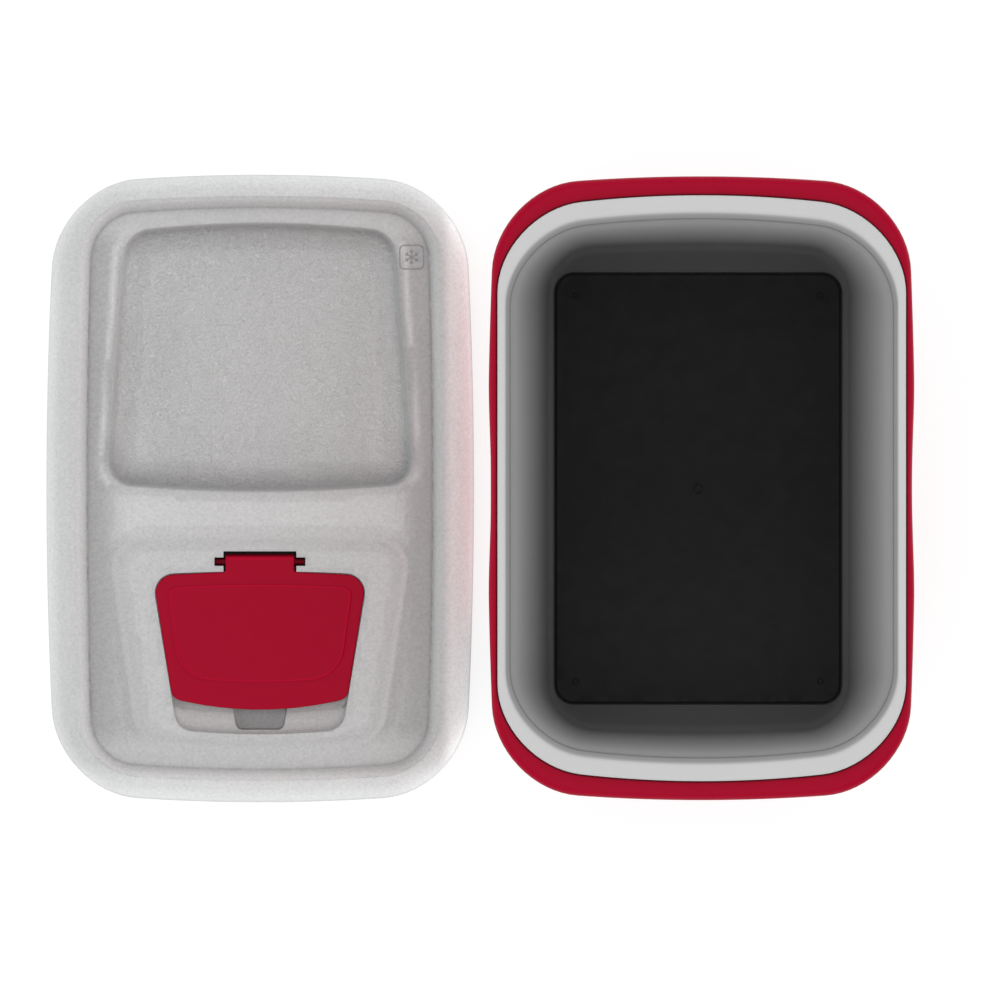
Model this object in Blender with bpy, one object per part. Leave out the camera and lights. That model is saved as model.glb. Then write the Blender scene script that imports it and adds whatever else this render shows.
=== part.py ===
"""Wheeled cooler with its lid lifted off and laid on the ground beside the body.

Metres, +Z up. The origin is on the ground at the centre of the whole layout: the lid lies on the -X side
and the body stands on the +X side. The wheels are at the body's -Y end and the tow handle is at its +Y end.
"""
import math

import bpy
import bmesh
from mathutils import Matrix, Vector

# ---- Layout ---------------------------------------------------------------------------------------------
LID_HALF = (0.1857, 0.2725)        # half width and half length of the lid's outline
SHOULDER_HALF = (0.1820, 0.2655)   # the same for the red shoulder
SHOULDER_REACH = 0.1811            # half width at the shoulder's widest point, beside its scoops
SIDE_BY_SIDE_GAP = 0.0130          # between the lid and the body
LAYOUT_WIDTH = 2 * LID_HALF[0] + SIDE_BY_SIDE_GAP + 2 * SHOULDER_REACH
LID_X = -LAYOUT_WIDTH / 2 + LID_HALF[0]
BODY_X = LAYOUT_WIDTH / 2 - SHOULDER_REACH

# ---- Material thickness and clearances ------------------------------------------------------------------
WALL = 0.0028        # moulded skins
GAP = 0.0004         # between pieces that touch
FOAM_GAP = 0.0012    # around the foam, where a hollow's wall slants
RUNNING_GAP = 0.0003  # radial, on shafts and pins

# ---- Body heights ---------------------------------------------------------------------------------------
BASE_Z = 0.0220
SHOULDER_Z = 0.3600   # shoulder's top surface where the rim rises from it
RIM_TOP_Z = 0.3720
PANEL_Z = 0.0670      # lowest part of the tub's floor
SHELF_Z = 0.0750      # shelf at each end of the tub's floor

# ---- Outline shapes: how far the sides and ends are bowed, and the corner radius ------------------------
SHOULDER_BOW = (0.037, 0.040)
RIM_BOW = (0.000, 0.066)
LID_BOW = (0.047, 0.036)
FLOOR_BOW = (0.004, 0.024)
SHOULDER_RADIUS = 0.0725
RIM_RADIUS = 0.0715
FLOOR_RADIUS = 0.0400
RIM_HALF = (0.1736, 0.2490)
RIM_INNER_HALF = (0.1684, 0.2365)
MOUTH_HALF = (0.1625, 0.2285)
FOOT_HALF = (0.1315, 0.2115)       # where the tub's wall meets its floor
PANEL_HALF = (0.1240, 0.1865)

# ---- Hand grips in the long sides -----------------------------------------------------------------------
GRIP_HALF_LENGTH = 0.0560
SCOOP_HALF_LENGTH = 0.0970         # shallow dip in the shoulder around each grip
SCOOP_DEPTH = 0.0028
GRIP_Z = (0.2920, 0.3400)
GRIP_DEEPEST_X = 0.1665

# ---- Slope under the wheel end ---------------------------------------------------------------------------
KICK_Y = (-0.1880, -0.2450)
KICK_TOP_Z = 0.0740

# ---- Wheels and axle ------------------------------------------------------------------------------------
WHEEL_RADIUS = 0.0500
WHEEL_Y = -0.1620
WHEEL_X = (0.1490, 0.1740)         # inner and outer face
RIM_WHEEL_RADIUS = 0.0430          # lips of the plastic wheel on both sides of the tyre
TYRE_SEAT_RADIUS = 0.0415
AXLE_RADIUS = 0.0040
AXLE_HALF_LENGTH = 0.1700
HUB_FACE_X = 0.1665                # outer face of the wheel's boss
ARCH_X = 0.1470
ARCH_CLEARANCE = 0.0060
CHANNEL_HALF_WIDTH = 0.0070
CHANNEL_TOP_Z = 0.0565
CHANNEL_HALF_LENGTH = 0.1410

# ---- Tow handle -----------------------------------------------------------------------------------------
PIVOT_Y = 0.2515
PIVOT_Z = 0.2850
ARM_X = 0.0880
ARM_LENGTH = 0.1720
ARM_THICKNESS = 0.0100
ARM_WIDTH = 0.0120
PIN_RADIUS = 0.0030
TOW_GRIP_RADIUS = 0.0120
RECESS_HALF_WIDTH = 0.1120
RECESS_Z = (0.0860, 0.3120)
RECESS_Y = (0.2310, 0.2415)        # recess floor at its lower and upper edge
SCREW_OFFSET_Z = 0.0160
SCREW_RADIUS = 0.0019
PLATE_THICKNESS = 0.0024

# ---- Feet -----------------------------------------------------------------------------------------------
FOOT_CENTRE = (0.1050, 0.1900)
FOOT_SIZE = (0.0400, 0.0300)

# ---- Lid heights, above the ground it lies on -----------------------------------------------------------
FIELD_Z = 0.0438
CREST_Z = 0.0520
PLATEAU_Z = 0.0463
TRAY_DEPTH = 0.0105
GROOVE_TOP_Z = 0.0118              # lands on the rim's top when the lid is on
PLUG_Z = 0.0010
FIELD_HALF = (0.1534, 0.2473)
FIELD_RADIUS = 0.0410

# ---- Hatch, from the lid's centre -----------------------------------------------------------------------
HINGE_Y = -0.0635
BARREL_RADIUS = 0.0072
BARREL_HALF_LENGTH = 0.0298
TRUNNION_RADIUS = 0.0032
TRUNNION_HALF_LENGTH = 0.0388
HINGE_Z = PLATEAU_Z - BARREL_RADIUS
HATCH_SWING_GAP = 0.0004         # between the rear wall's top edge and the door as it swings
POCKET_Z = PLATEAU_Z - 0.0095
NOTCH_Z = PLATEAU_Z - 0.0155

# Corner points (x, y, corner radius) of the right half, from the top centre to the bottom centre.
TRAY_HALF = [(0, 0.2340, 0.860), (0.1165, 0.2225, 0.024), (0.1325, 0.0040, 0.020), (0, -0.0060, 1.300)]
PLATEAU_HALF = [(0, -0.0415, 3.300), (0.1285, -0.0450, 0.024), (0.1035, -0.2180, 0.028),
                (0, -0.2275, 0.700)]
DOOR_HALF = [(0, -0.0715, 1.600), (0.0930, -0.0755, 0.0160), (0.0760, -0.1825, 0.0070), (0, -0.1925, 0.500)]
PANEL_HALF_LINE = [(0, -0.0820, 1.200), (0.0795, -0.0865, 0.0070), (0.0690, -0.1640, 0.0300),
                   (0, -0.1685, 0.5)]
POCKET_HALF = [(0, -0.0705, 1.600), (0.0941, -0.0745, 0.0170), (0.0718, -0.2095, 0.0170),
               (0, -0.2150, 0.650)]
POCKET_FLOOR_HALF = POCKET_HALF[:2] + [(0.0748, -0.1900, 0.0100), (0, -0.1970, 0.500)]
THROAT_HALF = [(0, -0.0880, 2.400), (0.0790, -0.0900, 0.0140), (0.0670, -0.1690, 0.0140),
               (0, -0.1745, 0.600)]
NOTCH = [(0.0250, -0.1830, 0.0030), (-0.0250, -0.1830, 0.0030), (-0.0205, -0.2094, 0.0045),
         (0.0205, -0.2094, 0.0045)]

CORNER_SEGMENTS = 5
SIDE_SEGMENTS = 3          # odd, so that a point falls on the middle of each side
ARC_SEGMENTS = 3
WHEEL_SEGMENTS = 24
ARCH_SEGMENTS = 12
PIN_SEGMENTS = 12
HINGE_SEGMENTS = 24


# ---- Scene and materials --------------------------------------------------------------------------------
def clear_scene():
    for obj in list(bpy.data.objects):
        bpy.data.objects.remove(obj, do_unlink=True)


def material(name, color, roughness, metallic=0.0):
    """A Principled material of one colour."""
    mat = bpy.data.materials.new(name)
    mat.use_nodes = True
    shader = mat.node_tree.nodes["Principled BSDF"]
    shader.inputs["Base Color"].default_value = (*color, 1.0)
    shader.inputs["Roughness"].default_value = roughness
    shader.inputs["Metallic"].default_value = metallic
    return mat


def add_object(name, bm, mat=None, smooth=True):
    """Turns a bmesh into an object, with its faces pointing out."""
    bmesh.ops.recalc_face_normals(bm, faces=bm.faces)
    mesh = bpy.data.meshes.new(name)
    bm.to_mesh(mesh)
    bm.free()
    obj = bpy.data.objects.new(name, mesh)
    bpy.context.collection.objects.link(obj)
    if mat:
        mesh.materials.append(mat)
    if smooth:
        mesh.shade_smooth()
        mesh.set_sharp_from_angle(angle=math.radians(35))
    return obj


def boolean(target, cutter, operation="DIFFERENCE"):
    """Combines two objects and keeps the second one as a hidden guide."""
    mod = target.modifiers.new(cutter.name, "BOOLEAN")
    mod.operation = operation
    mod.object = cutter
    cutter.hide_render = True
    cutter.display_type = "WIRE"


def under(parent, *children):
    for child in children:
        child.parent = parent
        child.matrix_parent_inverse = parent.matrix_world.inverted()


def empty_at(name, location):
    empty = bpy.data.objects.new(name, None)
    empty.location = location
    bpy.context.collection.objects.link(empty)
    bpy.context.view_layer.update()
    return empty


# ---- Outlines -------------------------------------------------------------------------------------------
def bowed_rectangle(half, radius, bow, centre_x, z):
    """A rounded rectangle whose sides and ends bulge, as points in turn at one height."""
    half_w, half_l = half
    points = []
    for sign_x, sign_y, start in ((1, 1, 0), (-1, 1, 90), (-1, -1, 180), (1, -1, 270)):
        for step in range(CORNER_SEGMENTS + 1):
            angle = math.radians(start + 90 * step / CORNER_SEGMENTS)
            points.append((sign_x * (half_w - radius) + radius * math.cos(angle),
                           sign_y * (half_l - radius) + radius * math.sin(angle)))
    ring = []
    for index, (x, y) in enumerate(points):
        ring.append((x, y))
        if index % (CORNER_SEGMENTS + 1) == CORNER_SEGMENTS:
            next_x, next_y = points[(index + 1) % len(points)]
            for step in range(1, SIDE_SEGMENTS + 1):
                part = step / (SIDE_SEGMENTS + 1)
                ring.append((x + (next_x - x) * part, y + (next_y - y) * part))
    return [Vector((centre_x + x * (1 - bow[0] * (y / half_l) ** 2),
                    y * (1 - bow[1] * (x / half_w) ** 2), z)) for x, y in ring]


def with_scoops(ring, share):
    """Pulls a ring of the shoulder in beside each hand grip; share is 0 to 1 of the full depth."""
    moved = []
    for point in ring:
        reach = min(abs(point.y) / SCOOP_HALF_LENGTH, 1.0)
        dip = SCOOP_DEPTH * share * (1 - reach ** 2) ** 2
        side = math.copysign(1, point.x - BODY_X)
        moved.append(point - Vector((side * dip, 0, 0)))
    return moved


def mirrored(half):
    """Corner points all round, anticlockwise, from the right half of a symmetric outline."""
    left = [(-x, y, radius) for x, y, radius in half[1:-1]]
    return [half[0]] + left + [half[-1]] + list(reversed(half[1:-1]))


def grown(corners, distance):
    """Moves every edge of an anticlockwise outline outwards by a distance."""
    count = len(corners)
    lines = []
    for index in range(count):
        here = Vector(corners[index][:2])
        there = Vector(corners[(index + 1) % count][:2])
        along = (there - here).normalized()
        outward = Vector((along.y, -along.x))
        lines.append((here + outward * distance, along))
    moved = []
    for index in range(count):
        point_a, along_a = lines[index - 1]
        point_b, along_b = lines[index]
        cross = along_a.x * along_b.y - along_a.y * along_b.x
        offset = point_b - point_a
        part = (offset.x * along_b.y - offset.y * along_b.x) / cross
        corner = point_a + along_a * part
        moved.append((corner.x, corner.y, max(corners[index][2] + distance, 0.001)))
    return moved


def rounded_outline(corners, z, centre_x=LID_X):
    """Replaces each corner with an arc of its radius that touches both edges."""
    ring = []
    count = len(corners)
    for index, (x, y, radius) in enumerate(corners):
        here = Vector((x, y))
        back = (Vector(corners[index - 1][:2]) - here).normalized()
        ahead = (Vector(corners[(index + 1) % count][:2]) - here).normalized()
        half_angle = back.angle(ahead) / 2
        reach = radius / math.tan(half_angle)
        centre = here + (back + ahead).normalized() * (radius / math.sin(half_angle))
        start = here + back * reach - centre
        end = here + ahead * reach - centre
        turn = start.angle_signed(end)
        for step in range(ARC_SEGMENTS + 1):
            angle = -turn * step / ARC_SEGMENTS
            spoke = Vector((start.x * math.cos(angle) - start.y * math.sin(angle),
                            start.x * math.sin(angle) + start.y * math.cos(angle)))
            ring.append(Vector((centre_x + centre.x + spoke.x, centre.y + spoke.y, z)))
    return ring


# ---- Solids ---------------------------------------------------------------------------------------------
def loft(rings):
    """A closed bmesh through rings of equal length, with the first and the last one filled."""
    bm = bmesh.new()
    rows = [[bm.verts.new(point) for point in ring] for ring in rings]
    for low, high in zip(rows, rows[1:]):
        join_rings(bm, low, high)
    bm.faces.new(list(reversed(rows[0])))
    bm.faces.new(rows[-1])
    return bm


def join_rings(bm, low, high):
    """Joins two rings with triangles that all lean the same way, so that nested skins stay parallel."""
    count = len(low)
    for index in range(count):
        after = (index + 1) % count
        bm.faces.new((low[index], low[after], high[after]))
        bm.faces.new((low[index], high[after], high[index]))


def ring_solid(rings):
    """A closed solid whose cross-section is a loop of rings, such as a square hoop."""
    bm = bmesh.new()
    rows = [[bm.verts.new(point) for point in ring] for ring in rings]
    for number, low in enumerate(rows):
        join_rings(bm, low, rows[(number + 1) % len(rows)])
    return bm


def turned(profile, centre, segments=WHEEL_SEGMENTS):
    """A solid turned about X through a centre. The profile is a closed loop of (x, radius), or an open one
    that starts and ends on the axis."""
    bm = bmesh.new()
    closed = profile[0][1] > 0
    rows = []
    for x, radius in profile:
        if radius == 0:
            rows.append([bm.verts.new(centre + Vector((x, 0, 0)))] * segments)
            continue
        rows.append([bm.verts.new(centre + Vector((x, radius * math.cos(2 * math.pi * step / segments),
                                                   radius * math.sin(2 * math.pi * step / segments))))
                     for step in range(segments)])
    pairs = list(zip(rows, rows[1:]))
    if closed:
        pairs.append((rows[-1], rows[0]))
    for low, high in pairs:
        for index in range(segments):
            after = (index + 1) % segments
            corners = [low[index], low[after], high[after], high[index]]
            bm.faces.new(list(dict.fromkeys(corners)))
    return bm


def block(low, high, bevel=0.0, segments=2):
    """A box between two corners, with its edges rounded."""
    bm = bmesh.new()
    bmesh.ops.create_cube(bm, size=1.0)
    low, high = Vector(low), Vector(high)
    bmesh.ops.scale(bm, vec=high - low, verts=bm.verts)
    bmesh.ops.translate(bm, vec=(low + high) / 2, verts=bm.verts)
    if bevel:
        bmesh.ops.bevel(bm, geom=bm.edges[:], offset=bevel, segments=segments, affect="EDGES", profile=0.5)
    return bm


def cylinder(start, end, radius, segments=PIN_SEGMENTS):
    """A round bar between two points."""
    start, end = Vector(start), Vector(end)
    along = end - start
    bm = bmesh.new()
    bmesh.ops.create_cone(bm, cap_ends=True, segments=segments, radius1=radius, radius2=radius,
                          depth=along.length)
    turn = along.to_track_quat("Z", "Y").to_matrix().to_4x4()
    bmesh.ops.transform(bm, matrix=Matrix.Translation((start + end) / 2) @ turn, verts=bm.verts)
    return bm


def merged(*parts):
    """Puts several separate solids into one bmesh."""
    whole = bmesh.new()
    for part in parts:
        mesh = bpy.data.meshes.new("part")
        part.to_mesh(mesh)
        part.free()
        whole.from_mesh(mesh)
        bpy.data.meshes.remove(mesh)
    return whole


# ---- Hollows of the body, each of which can be grown by a wall's thickness -------------------------------
def arch(side, grow):
    """Wheel arch: half a circle above the axle, straight down to below the base."""
    radius = WHEEL_RADIUS + ARCH_CLEARANCE + grow
    inner_x = side * (ARCH_X - grow) + BODY_X
    outer_x = side * 0.30 + BODY_X
    profile = [(WHEEL_Y + radius, -0.05)]
    for step in range(ARCH_SEGMENTS + 1):
        angle = math.pi * step / ARCH_SEGMENTS
        profile.append((WHEEL_Y + radius * math.cos(angle), WHEEL_RADIUS + radius * math.sin(angle)))
    profile.append((WHEEL_Y - radius, -0.05))
    return loft([[Vector((x, y, z)) for y, z in profile] for x in (inner_x, outer_x)])


def grip(side, grow):
    """Finger recess under the shoulder of a long side, deepest along its top."""
    half = GRIP_HALF_LENGTH + grow
    low_z, top_z = GRIP_Z[0] - grow, GRIP_Z[1] + grow
    deep_x = GRIP_DEEPEST_X - grow
    profile = [(0.20, low_z), (0.20, top_z), (deep_x + 0.002, top_z), (deep_x, top_z - 0.004),
               (deep_x, top_z - 0.018)]
    taper = 0.010
    rings = []
    for y, inset in ((-half, taper), (-half + taper, 0), (half - taper, 0), (half, taper)):
        rings.append([Vector((BODY_X + side * (x + (inset if x < 0.19 else 0)), y, z)) for x, z in profile])
    return loft(rings)


def handle_recess(grow):
    """Recess in the end wall that the tow handle hangs in. Its floor follows the wall's slope."""
    half = RECESS_HALF_WIDTH + grow
    slope = (RECESS_Y[1] - RECESS_Y[0]) / (RECESS_Z[1] - RECESS_Z[0])
    low_z, top_z = RECESS_Z[0] - grow, RECESS_Z[1] + grow
    low_y = RECESS_Y[0] - grow - slope * grow
    top_y = RECESS_Y[1] - grow + slope * grow
    corner = 0.0060
    outline = [(-half, corner), (-half + corner, 0), (half - corner, 0), (half, corner)]
    rings = []
    for z, floor_y in ((low_z, low_y), (top_z, top_y)):
        ring = [Vector((BODY_X + x, floor_y + inset, z)) for x, inset in outline]
        ring += [Vector((BODY_X + half, 0.32, z)), Vector((BODY_X - half, 0.32, z))]
        rings.append(ring)
    return loft(rings)


def axle_channel(grow):
    """Groove across the base that the axle lies in."""
    reach = CHANNEL_HALF_LENGTH + grow
    width = CHANNEL_HALF_WIDTH + grow
    return block((BODY_X - reach, WHEEL_Y - width, -0.02),
                 (BODY_X + reach, WHEEL_Y + width, CHANNEL_TOP_Z + grow))


def recess_normal():
    """Unit vector out of the handle recess's sloping floor."""
    rise = RECESS_Z[1] - RECESS_Z[0]
    run = RECESS_Y[1] - RECESS_Y[0]
    return Vector((0, rise, -run)).normalized()


def recess_floor(x, z):
    """Point of the handle recess's floor at a place across and a height."""
    part = (z - RECESS_Z[0]) / (RECESS_Z[1] - RECESS_Z[0])
    return Vector((BODY_X + x, RECESS_Y[0] + part * (RECESS_Y[1] - RECESS_Y[0]), z))


def screw_places():
    """Name and point on the recess floor of each bracket screw."""
    places = {}
    for side, side_name in ((-1, "left"), (1, "right")):
        for offset, level in ((SCREW_OFFSET_Z, "upper"), (-SCREW_OFFSET_Z, "lower")):
            places[f"bracket_screw_{side_name}_{level}"] = recess_floor(side * ARM_X, PIVOT_Z + offset)
    return places


def screw_bosses(grow):
    """Blocks of plastic behind the recess floor that the screws bite into."""
    normal = recess_normal()
    bosses = [cylinder(place + normal * 0.004, place - normal * (0.0105 + grow), 0.0045 + grow, 12)
              for place in screw_places().values()]
    return merged(*bosses)


def kick_up(grow):
    """Wedge under the wheel end, where the base slopes up to clear the ground when the cooler is tilted."""
    start = Vector((KICK_Y[0], BASE_Z))
    along = (Vector((KICK_Y[1], KICK_TOP_Z)) - start).normalized()
    outward = Vector((along.y, -along.x))
    low = start + outward * grow - along * 0.06
    high = start + outward * grow + along * 0.14
    profile = [low, high, Vector((high.x, low.y))]
    return loft([[Vector((x, y, z)) for y, z in profile] for x in (BODY_X - 0.25, BODY_X + 0.25)])


def cut_body_hollows(target, label, grow):
    """Cuts the wheel arches, hand grips, handle recess and axle groove from a solid of the body."""
    boolean(target, add_object(f"guide_{label}_kick_up", kick_up(grow)))
    hollows = merged(arch(-1, grow), arch(1, grow), grip(-1, grow), grip(1, grow), handle_recess(grow))
    boolean(target, add_object(f"guide_{label}_hollows", hollows))
    boolean(target, add_object(f"guide_{label}_channel", axle_channel(grow)))


# ---- Body -----------------------------------------------------------------------------------------------
def body_ring(half, z, bow=SHOULDER_BOW, radius=SHOULDER_RADIUS):
    return bowed_rectangle(half, radius, bow, BODY_X, z)


def wall_half(z, inset=0.0):
    """Half sizes of the red wall at a height; it tapers towards the base."""
    part = (z - BASE_Z) / (0.338 - BASE_Z)
    return (0.1600 + 0.0175 * part - inset, 0.2400 + 0.0195 * part - inset)


def wall_radius(z, inset=0.0):
    part = (z - BASE_Z) / (0.338 - BASE_Z)
    return 0.056 + (SHOULDER_RADIUS - 0.004 - 0.056) * part - inset


def wall_ring(z, inset=0.0):
    return body_ring(wall_half(z, inset), z, SHOULDER_BOW, wall_radius(z, inset))


def shoulder_rings():
    """Outside of the red shell from the wall up over the shoulder to the rim's foot."""
    w, l = SHOULDER_HALF
    steps = [((w - 0.0020, l - 0.0022), 0.3425, 0.2), ((w, l), 0.3480, 1.0), ((w, l), 0.3530, 1.0),
             ((w - 0.0012, l - 0.0014), 0.3570, 1.0), ((w - 0.0042, l - 0.0050), 0.3592, 0.8)]
    rings = [with_scoops(body_ring(half, z), share) for half, z, share in steps]
    rings.append(body_ring((RIM_HALF[0] - 0.0035, RIM_HALF[1] - 0.0035), SHOULDER_Z, RIM_BOW,
                           RIM_RADIUS - 0.0035))
    return rings


def make_outer_shell(mat):
    """Red outer shell: walls, base and shoulder of one thickness, open at the top."""
    outside = [wall_ring(BASE_Z, 0.004), wall_ring(BASE_Z + 0.003), wall_ring(0.338)] + shoulder_rings()
    shell = add_object("outer_shell", loft(outside), mat)
    cut_body_hollows(shell, "shell", 0.0)

    cavity = make_cavity("guide_shell_cavity", WALL)
    cut_body_hollows(cavity, "cavity", WALL)
    boolean(cavity, add_object("guide_cavity_bosses", screw_bosses(0.0)))
    boolean(shell, cavity)

    normal = recess_normal()
    holes = [cylinder(place + normal * 0.004, place - normal * 0.0085, SCREW_RADIUS + RUNNING_GAP, 12)
             for place in screw_places().values()]
    holes.append(cylinder((BODY_X - 0.155, WHEEL_Y, WHEEL_RADIUS), (BODY_X + 0.155, WHEEL_Y, WHEEL_RADIUS),
                          AXLE_RADIUS + RUNNING_GAP, 16))
    holes.append(cylinder((BODY_X, 0, 0), (BODY_X, 0, BASE_Z + 2 * WALL), 0.0100, 20))
    boolean(shell, add_object("guide_shell_holes", merged(*holes)))
    return shell


def make_cavity(name, inset):
    """The space inside the red shell; inset is the wall that it leaves."""
    top = SHOULDER_Z - WALL
    lower = [wall_ring(BASE_Z + inset, inset + 0.004), wall_ring(BASE_Z + inset + 0.003, inset)]
    upper = [wall_ring(0.338, inset)]
    if inset == WALL:
        upper.append(body_ring((RIM_HALF[0] - 0.006, RIM_HALF[1] - 0.006), top - 0.0012, RIM_BOW,
                               RIM_RADIUS - 0.006))
        upper.append(body_ring((RIM_HALF[0] - 0.006, RIM_HALF[1] - 0.006), 0.380, RIM_BOW,
                               RIM_RADIUS - 0.006))
    return add_object(name, loft(lower + upper))


def tub_half(z):
    """Half sizes of the tub's inside at a height."""
    part = (z - SHELF_Z) / (RIM_TOP_Z - 0.008 - SHELF_Z)
    return tuple(FOOT_HALF[i] + (MOUTH_HALF[i] - FOOT_HALF[i]) * part for i in (0, 1))


def tub_ring(z, offset=0.0):
    """Ring of the tub's wall at a height, moved outwards by an offset."""
    part = (z - SHELF_Z) / (RIM_TOP_Z - 0.008 - SHELF_Z)
    half = tub_half(z)
    bow = tuple(FLOOR_BOW[i] + (RIM_BOW[i] - FLOOR_BOW[i]) * part for i in (0, 1))
    radius = FLOOR_RADIUS + (0.064 - FLOOR_RADIUS) * part
    return body_ring((half[0] + offset, half[1] + offset), z, bow, radius + offset)


def tub_outside(offset, top_z):
    """Rings up the tub's outside."""
    under_z = PANEL_Z - offset
    foot = body_ring((FOOT_HALF[0] - 0.008 + offset, FOOT_HALF[1] - 0.008 + offset), under_z, FLOOR_BOW,
                     FLOOR_RADIUS - 0.008 + offset)
    return [foot, tub_ring(SHELF_Z + 0.004, offset), tub_ring(0.200, offset), tub_ring(top_z, offset)]


def make_inner_liner(mat):
    """Grey tub with its raised rim, as one skin."""
    rim_w, rim_l = RIM_HALF
    in_w, in_l = RIM_INNER_HALF
    foot_w, foot_l = FOOT_HALF
    rim_foot_z = SHOULDER_Z + GAP
    rings = tub_outside(WALL, SHOULDER_Z - 0.0070)
    rings += [
        body_ring((rim_w - 0.0070, rim_l - 0.0070), rim_foot_z, RIM_BOW, RIM_RADIUS - 0.0070),
        body_ring((rim_w, rim_l), rim_foot_z, RIM_BOW, RIM_RADIUS),
        body_ring((rim_w, rim_l), RIM_TOP_Z - 0.0022, RIM_BOW, RIM_RADIUS),
        body_ring((rim_w - 0.0008, rim_l - 0.0008), RIM_TOP_Z - 0.0006, RIM_BOW, RIM_RADIUS - 0.0008),
        body_ring((rim_w - 0.0022, rim_l - 0.0022), RIM_TOP_Z, RIM_BOW, RIM_RADIUS - 0.0022),
        body_ring((in_w, in_l), RIM_TOP_Z, (0.0, 0.070), 0.0677),
        body_ring((in_w - 0.0018, in_l - 0.0030), RIM_TOP_Z - 0.0012, (0.0, 0.070), 0.0670),
        body_ring((MOUTH_HALF[0] + 0.0008, MOUTH_HALF[1] + 0.0010), RIM_TOP_Z - 0.0060, (0.0, 0.068),
                  0.0650),
        tub_ring(RIM_TOP_Z - 0.0080),
        tub_ring(0.200), tub_ring(SHELF_Z + 0.0200),
        body_ring((foot_w - 0.0004, foot_l - 0.0006), SHELF_Z + 0.0080, FLOOR_BOW, FLOOR_RADIUS),
        body_ring((foot_w - 0.0024, foot_l - 0.0030), SHELF_Z + 0.0020, FLOOR_BOW, FLOOR_RADIUS - 0.0020),
        body_ring((foot_w - 0.0056, foot_l - 0.0065), SHELF_Z, FLOOR_BOW, FLOOR_RADIUS - 0.0060),
        body_ring((PANEL_HALF[0] + 0.0006, PANEL_HALF[1] + 0.0010), SHELF_Z - 0.0004, (0, 0), 0.0110),
        body_ring(PANEL_HALF, PANEL_Z + 0.0012, (0, 0), 0.0105),
        body_ring((PANEL_HALF[0] - 0.0012, PANEL_HALF[1] - 0.0012), PANEL_Z, (0, 0), 0.0095),
    ]
    return add_object("inner_liner", loft(rings), mat)


def make_body_insulation(mat):
    """Foam that fills the space between the shell and the tub."""
    foam = make_cavity("body_insulation", WALL + GAP)
    foam.data.materials.append(mat)
    cut_body_hollows(foam, "foam", WALL + FOAM_GAP)
    boolean(foam, add_object("guide_foam_bosses", screw_bosses(FOAM_GAP)))
    tub = tub_outside(WALL + GAP, SHOULDER_Z - 0.007)
    tub.append(tub_ring(0.380, WALL + GAP))
    boolean(foam, add_object("guide_foam_tub", loft(tub)))
    return foam


def make_foam_plug(mat):
    """Plug in the filling hole under the base."""
    profile = [(-0.0012, 0.0), (-0.0012, 0.0120), (-GAP, 0.0130), (-GAP, 0.0097), (WALL, 0.0097),
               (WALL, 0.0)]
    bm = turned(profile, Vector((0, 0, 0)), 20)
    bmesh.ops.rotate(bm, cent=(0, 0, 0), matrix=Matrix.Rotation(math.radians(-90), 3, "Y"), verts=bm.verts)
    bmesh.ops.translate(bm, vec=(BODY_X, 0, BASE_Z), verts=bm.verts)
    return add_object("foam_plug", bm, mat)


def make_foot(side, name, mat):
    """Foot under the handle end, a little narrower where it meets the ground."""
    x, y = BODY_X + side * FOOT_CENTRE[0], FOOT_CENTRE[1]
    half_x, half_y = FOOT_SIZE[0] / 2, FOOT_SIZE[1] / 2
    rings = []
    for z, inset in ((0, 0.0045), (0.0020, 0.0030), (BASE_Z - GAP, 0.0)):
        ring = rounded_outline(square_outline(half_x - inset, half_y - inset, 0.007), z, x)
        rings.append([point + Vector((0, y, 0)) for point in ring])
    return add_object(name, loft(rings), mat)


def square_outline(half_x, half_y, radius):
    """Corner points of a rectangle, anticlockwise."""
    return [(half_x, half_y, radius), (-half_x, half_y, radius), (-half_x, -half_y, radius),
            (half_x, -half_y, radius)]


# ---- Wheels ---------------------------------------------------------------------------------------------
def make_axle(mat):
    """Steel rod through both wheel arches."""
    chamfer = 0.0008
    end, radius = AXLE_HALF_LENGTH, AXLE_RADIUS
    profile = [(-end, 0.0), (-end, radius - chamfer), (-end + chamfer, radius), (end - chamfer, radius),
               (end, radius - chamfer), (end, 0.0)]
    return add_object("axle", turned(profile, Vector((BODY_X, WHEEL_Y, WHEEL_RADIUS)), 20), mat)


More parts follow.
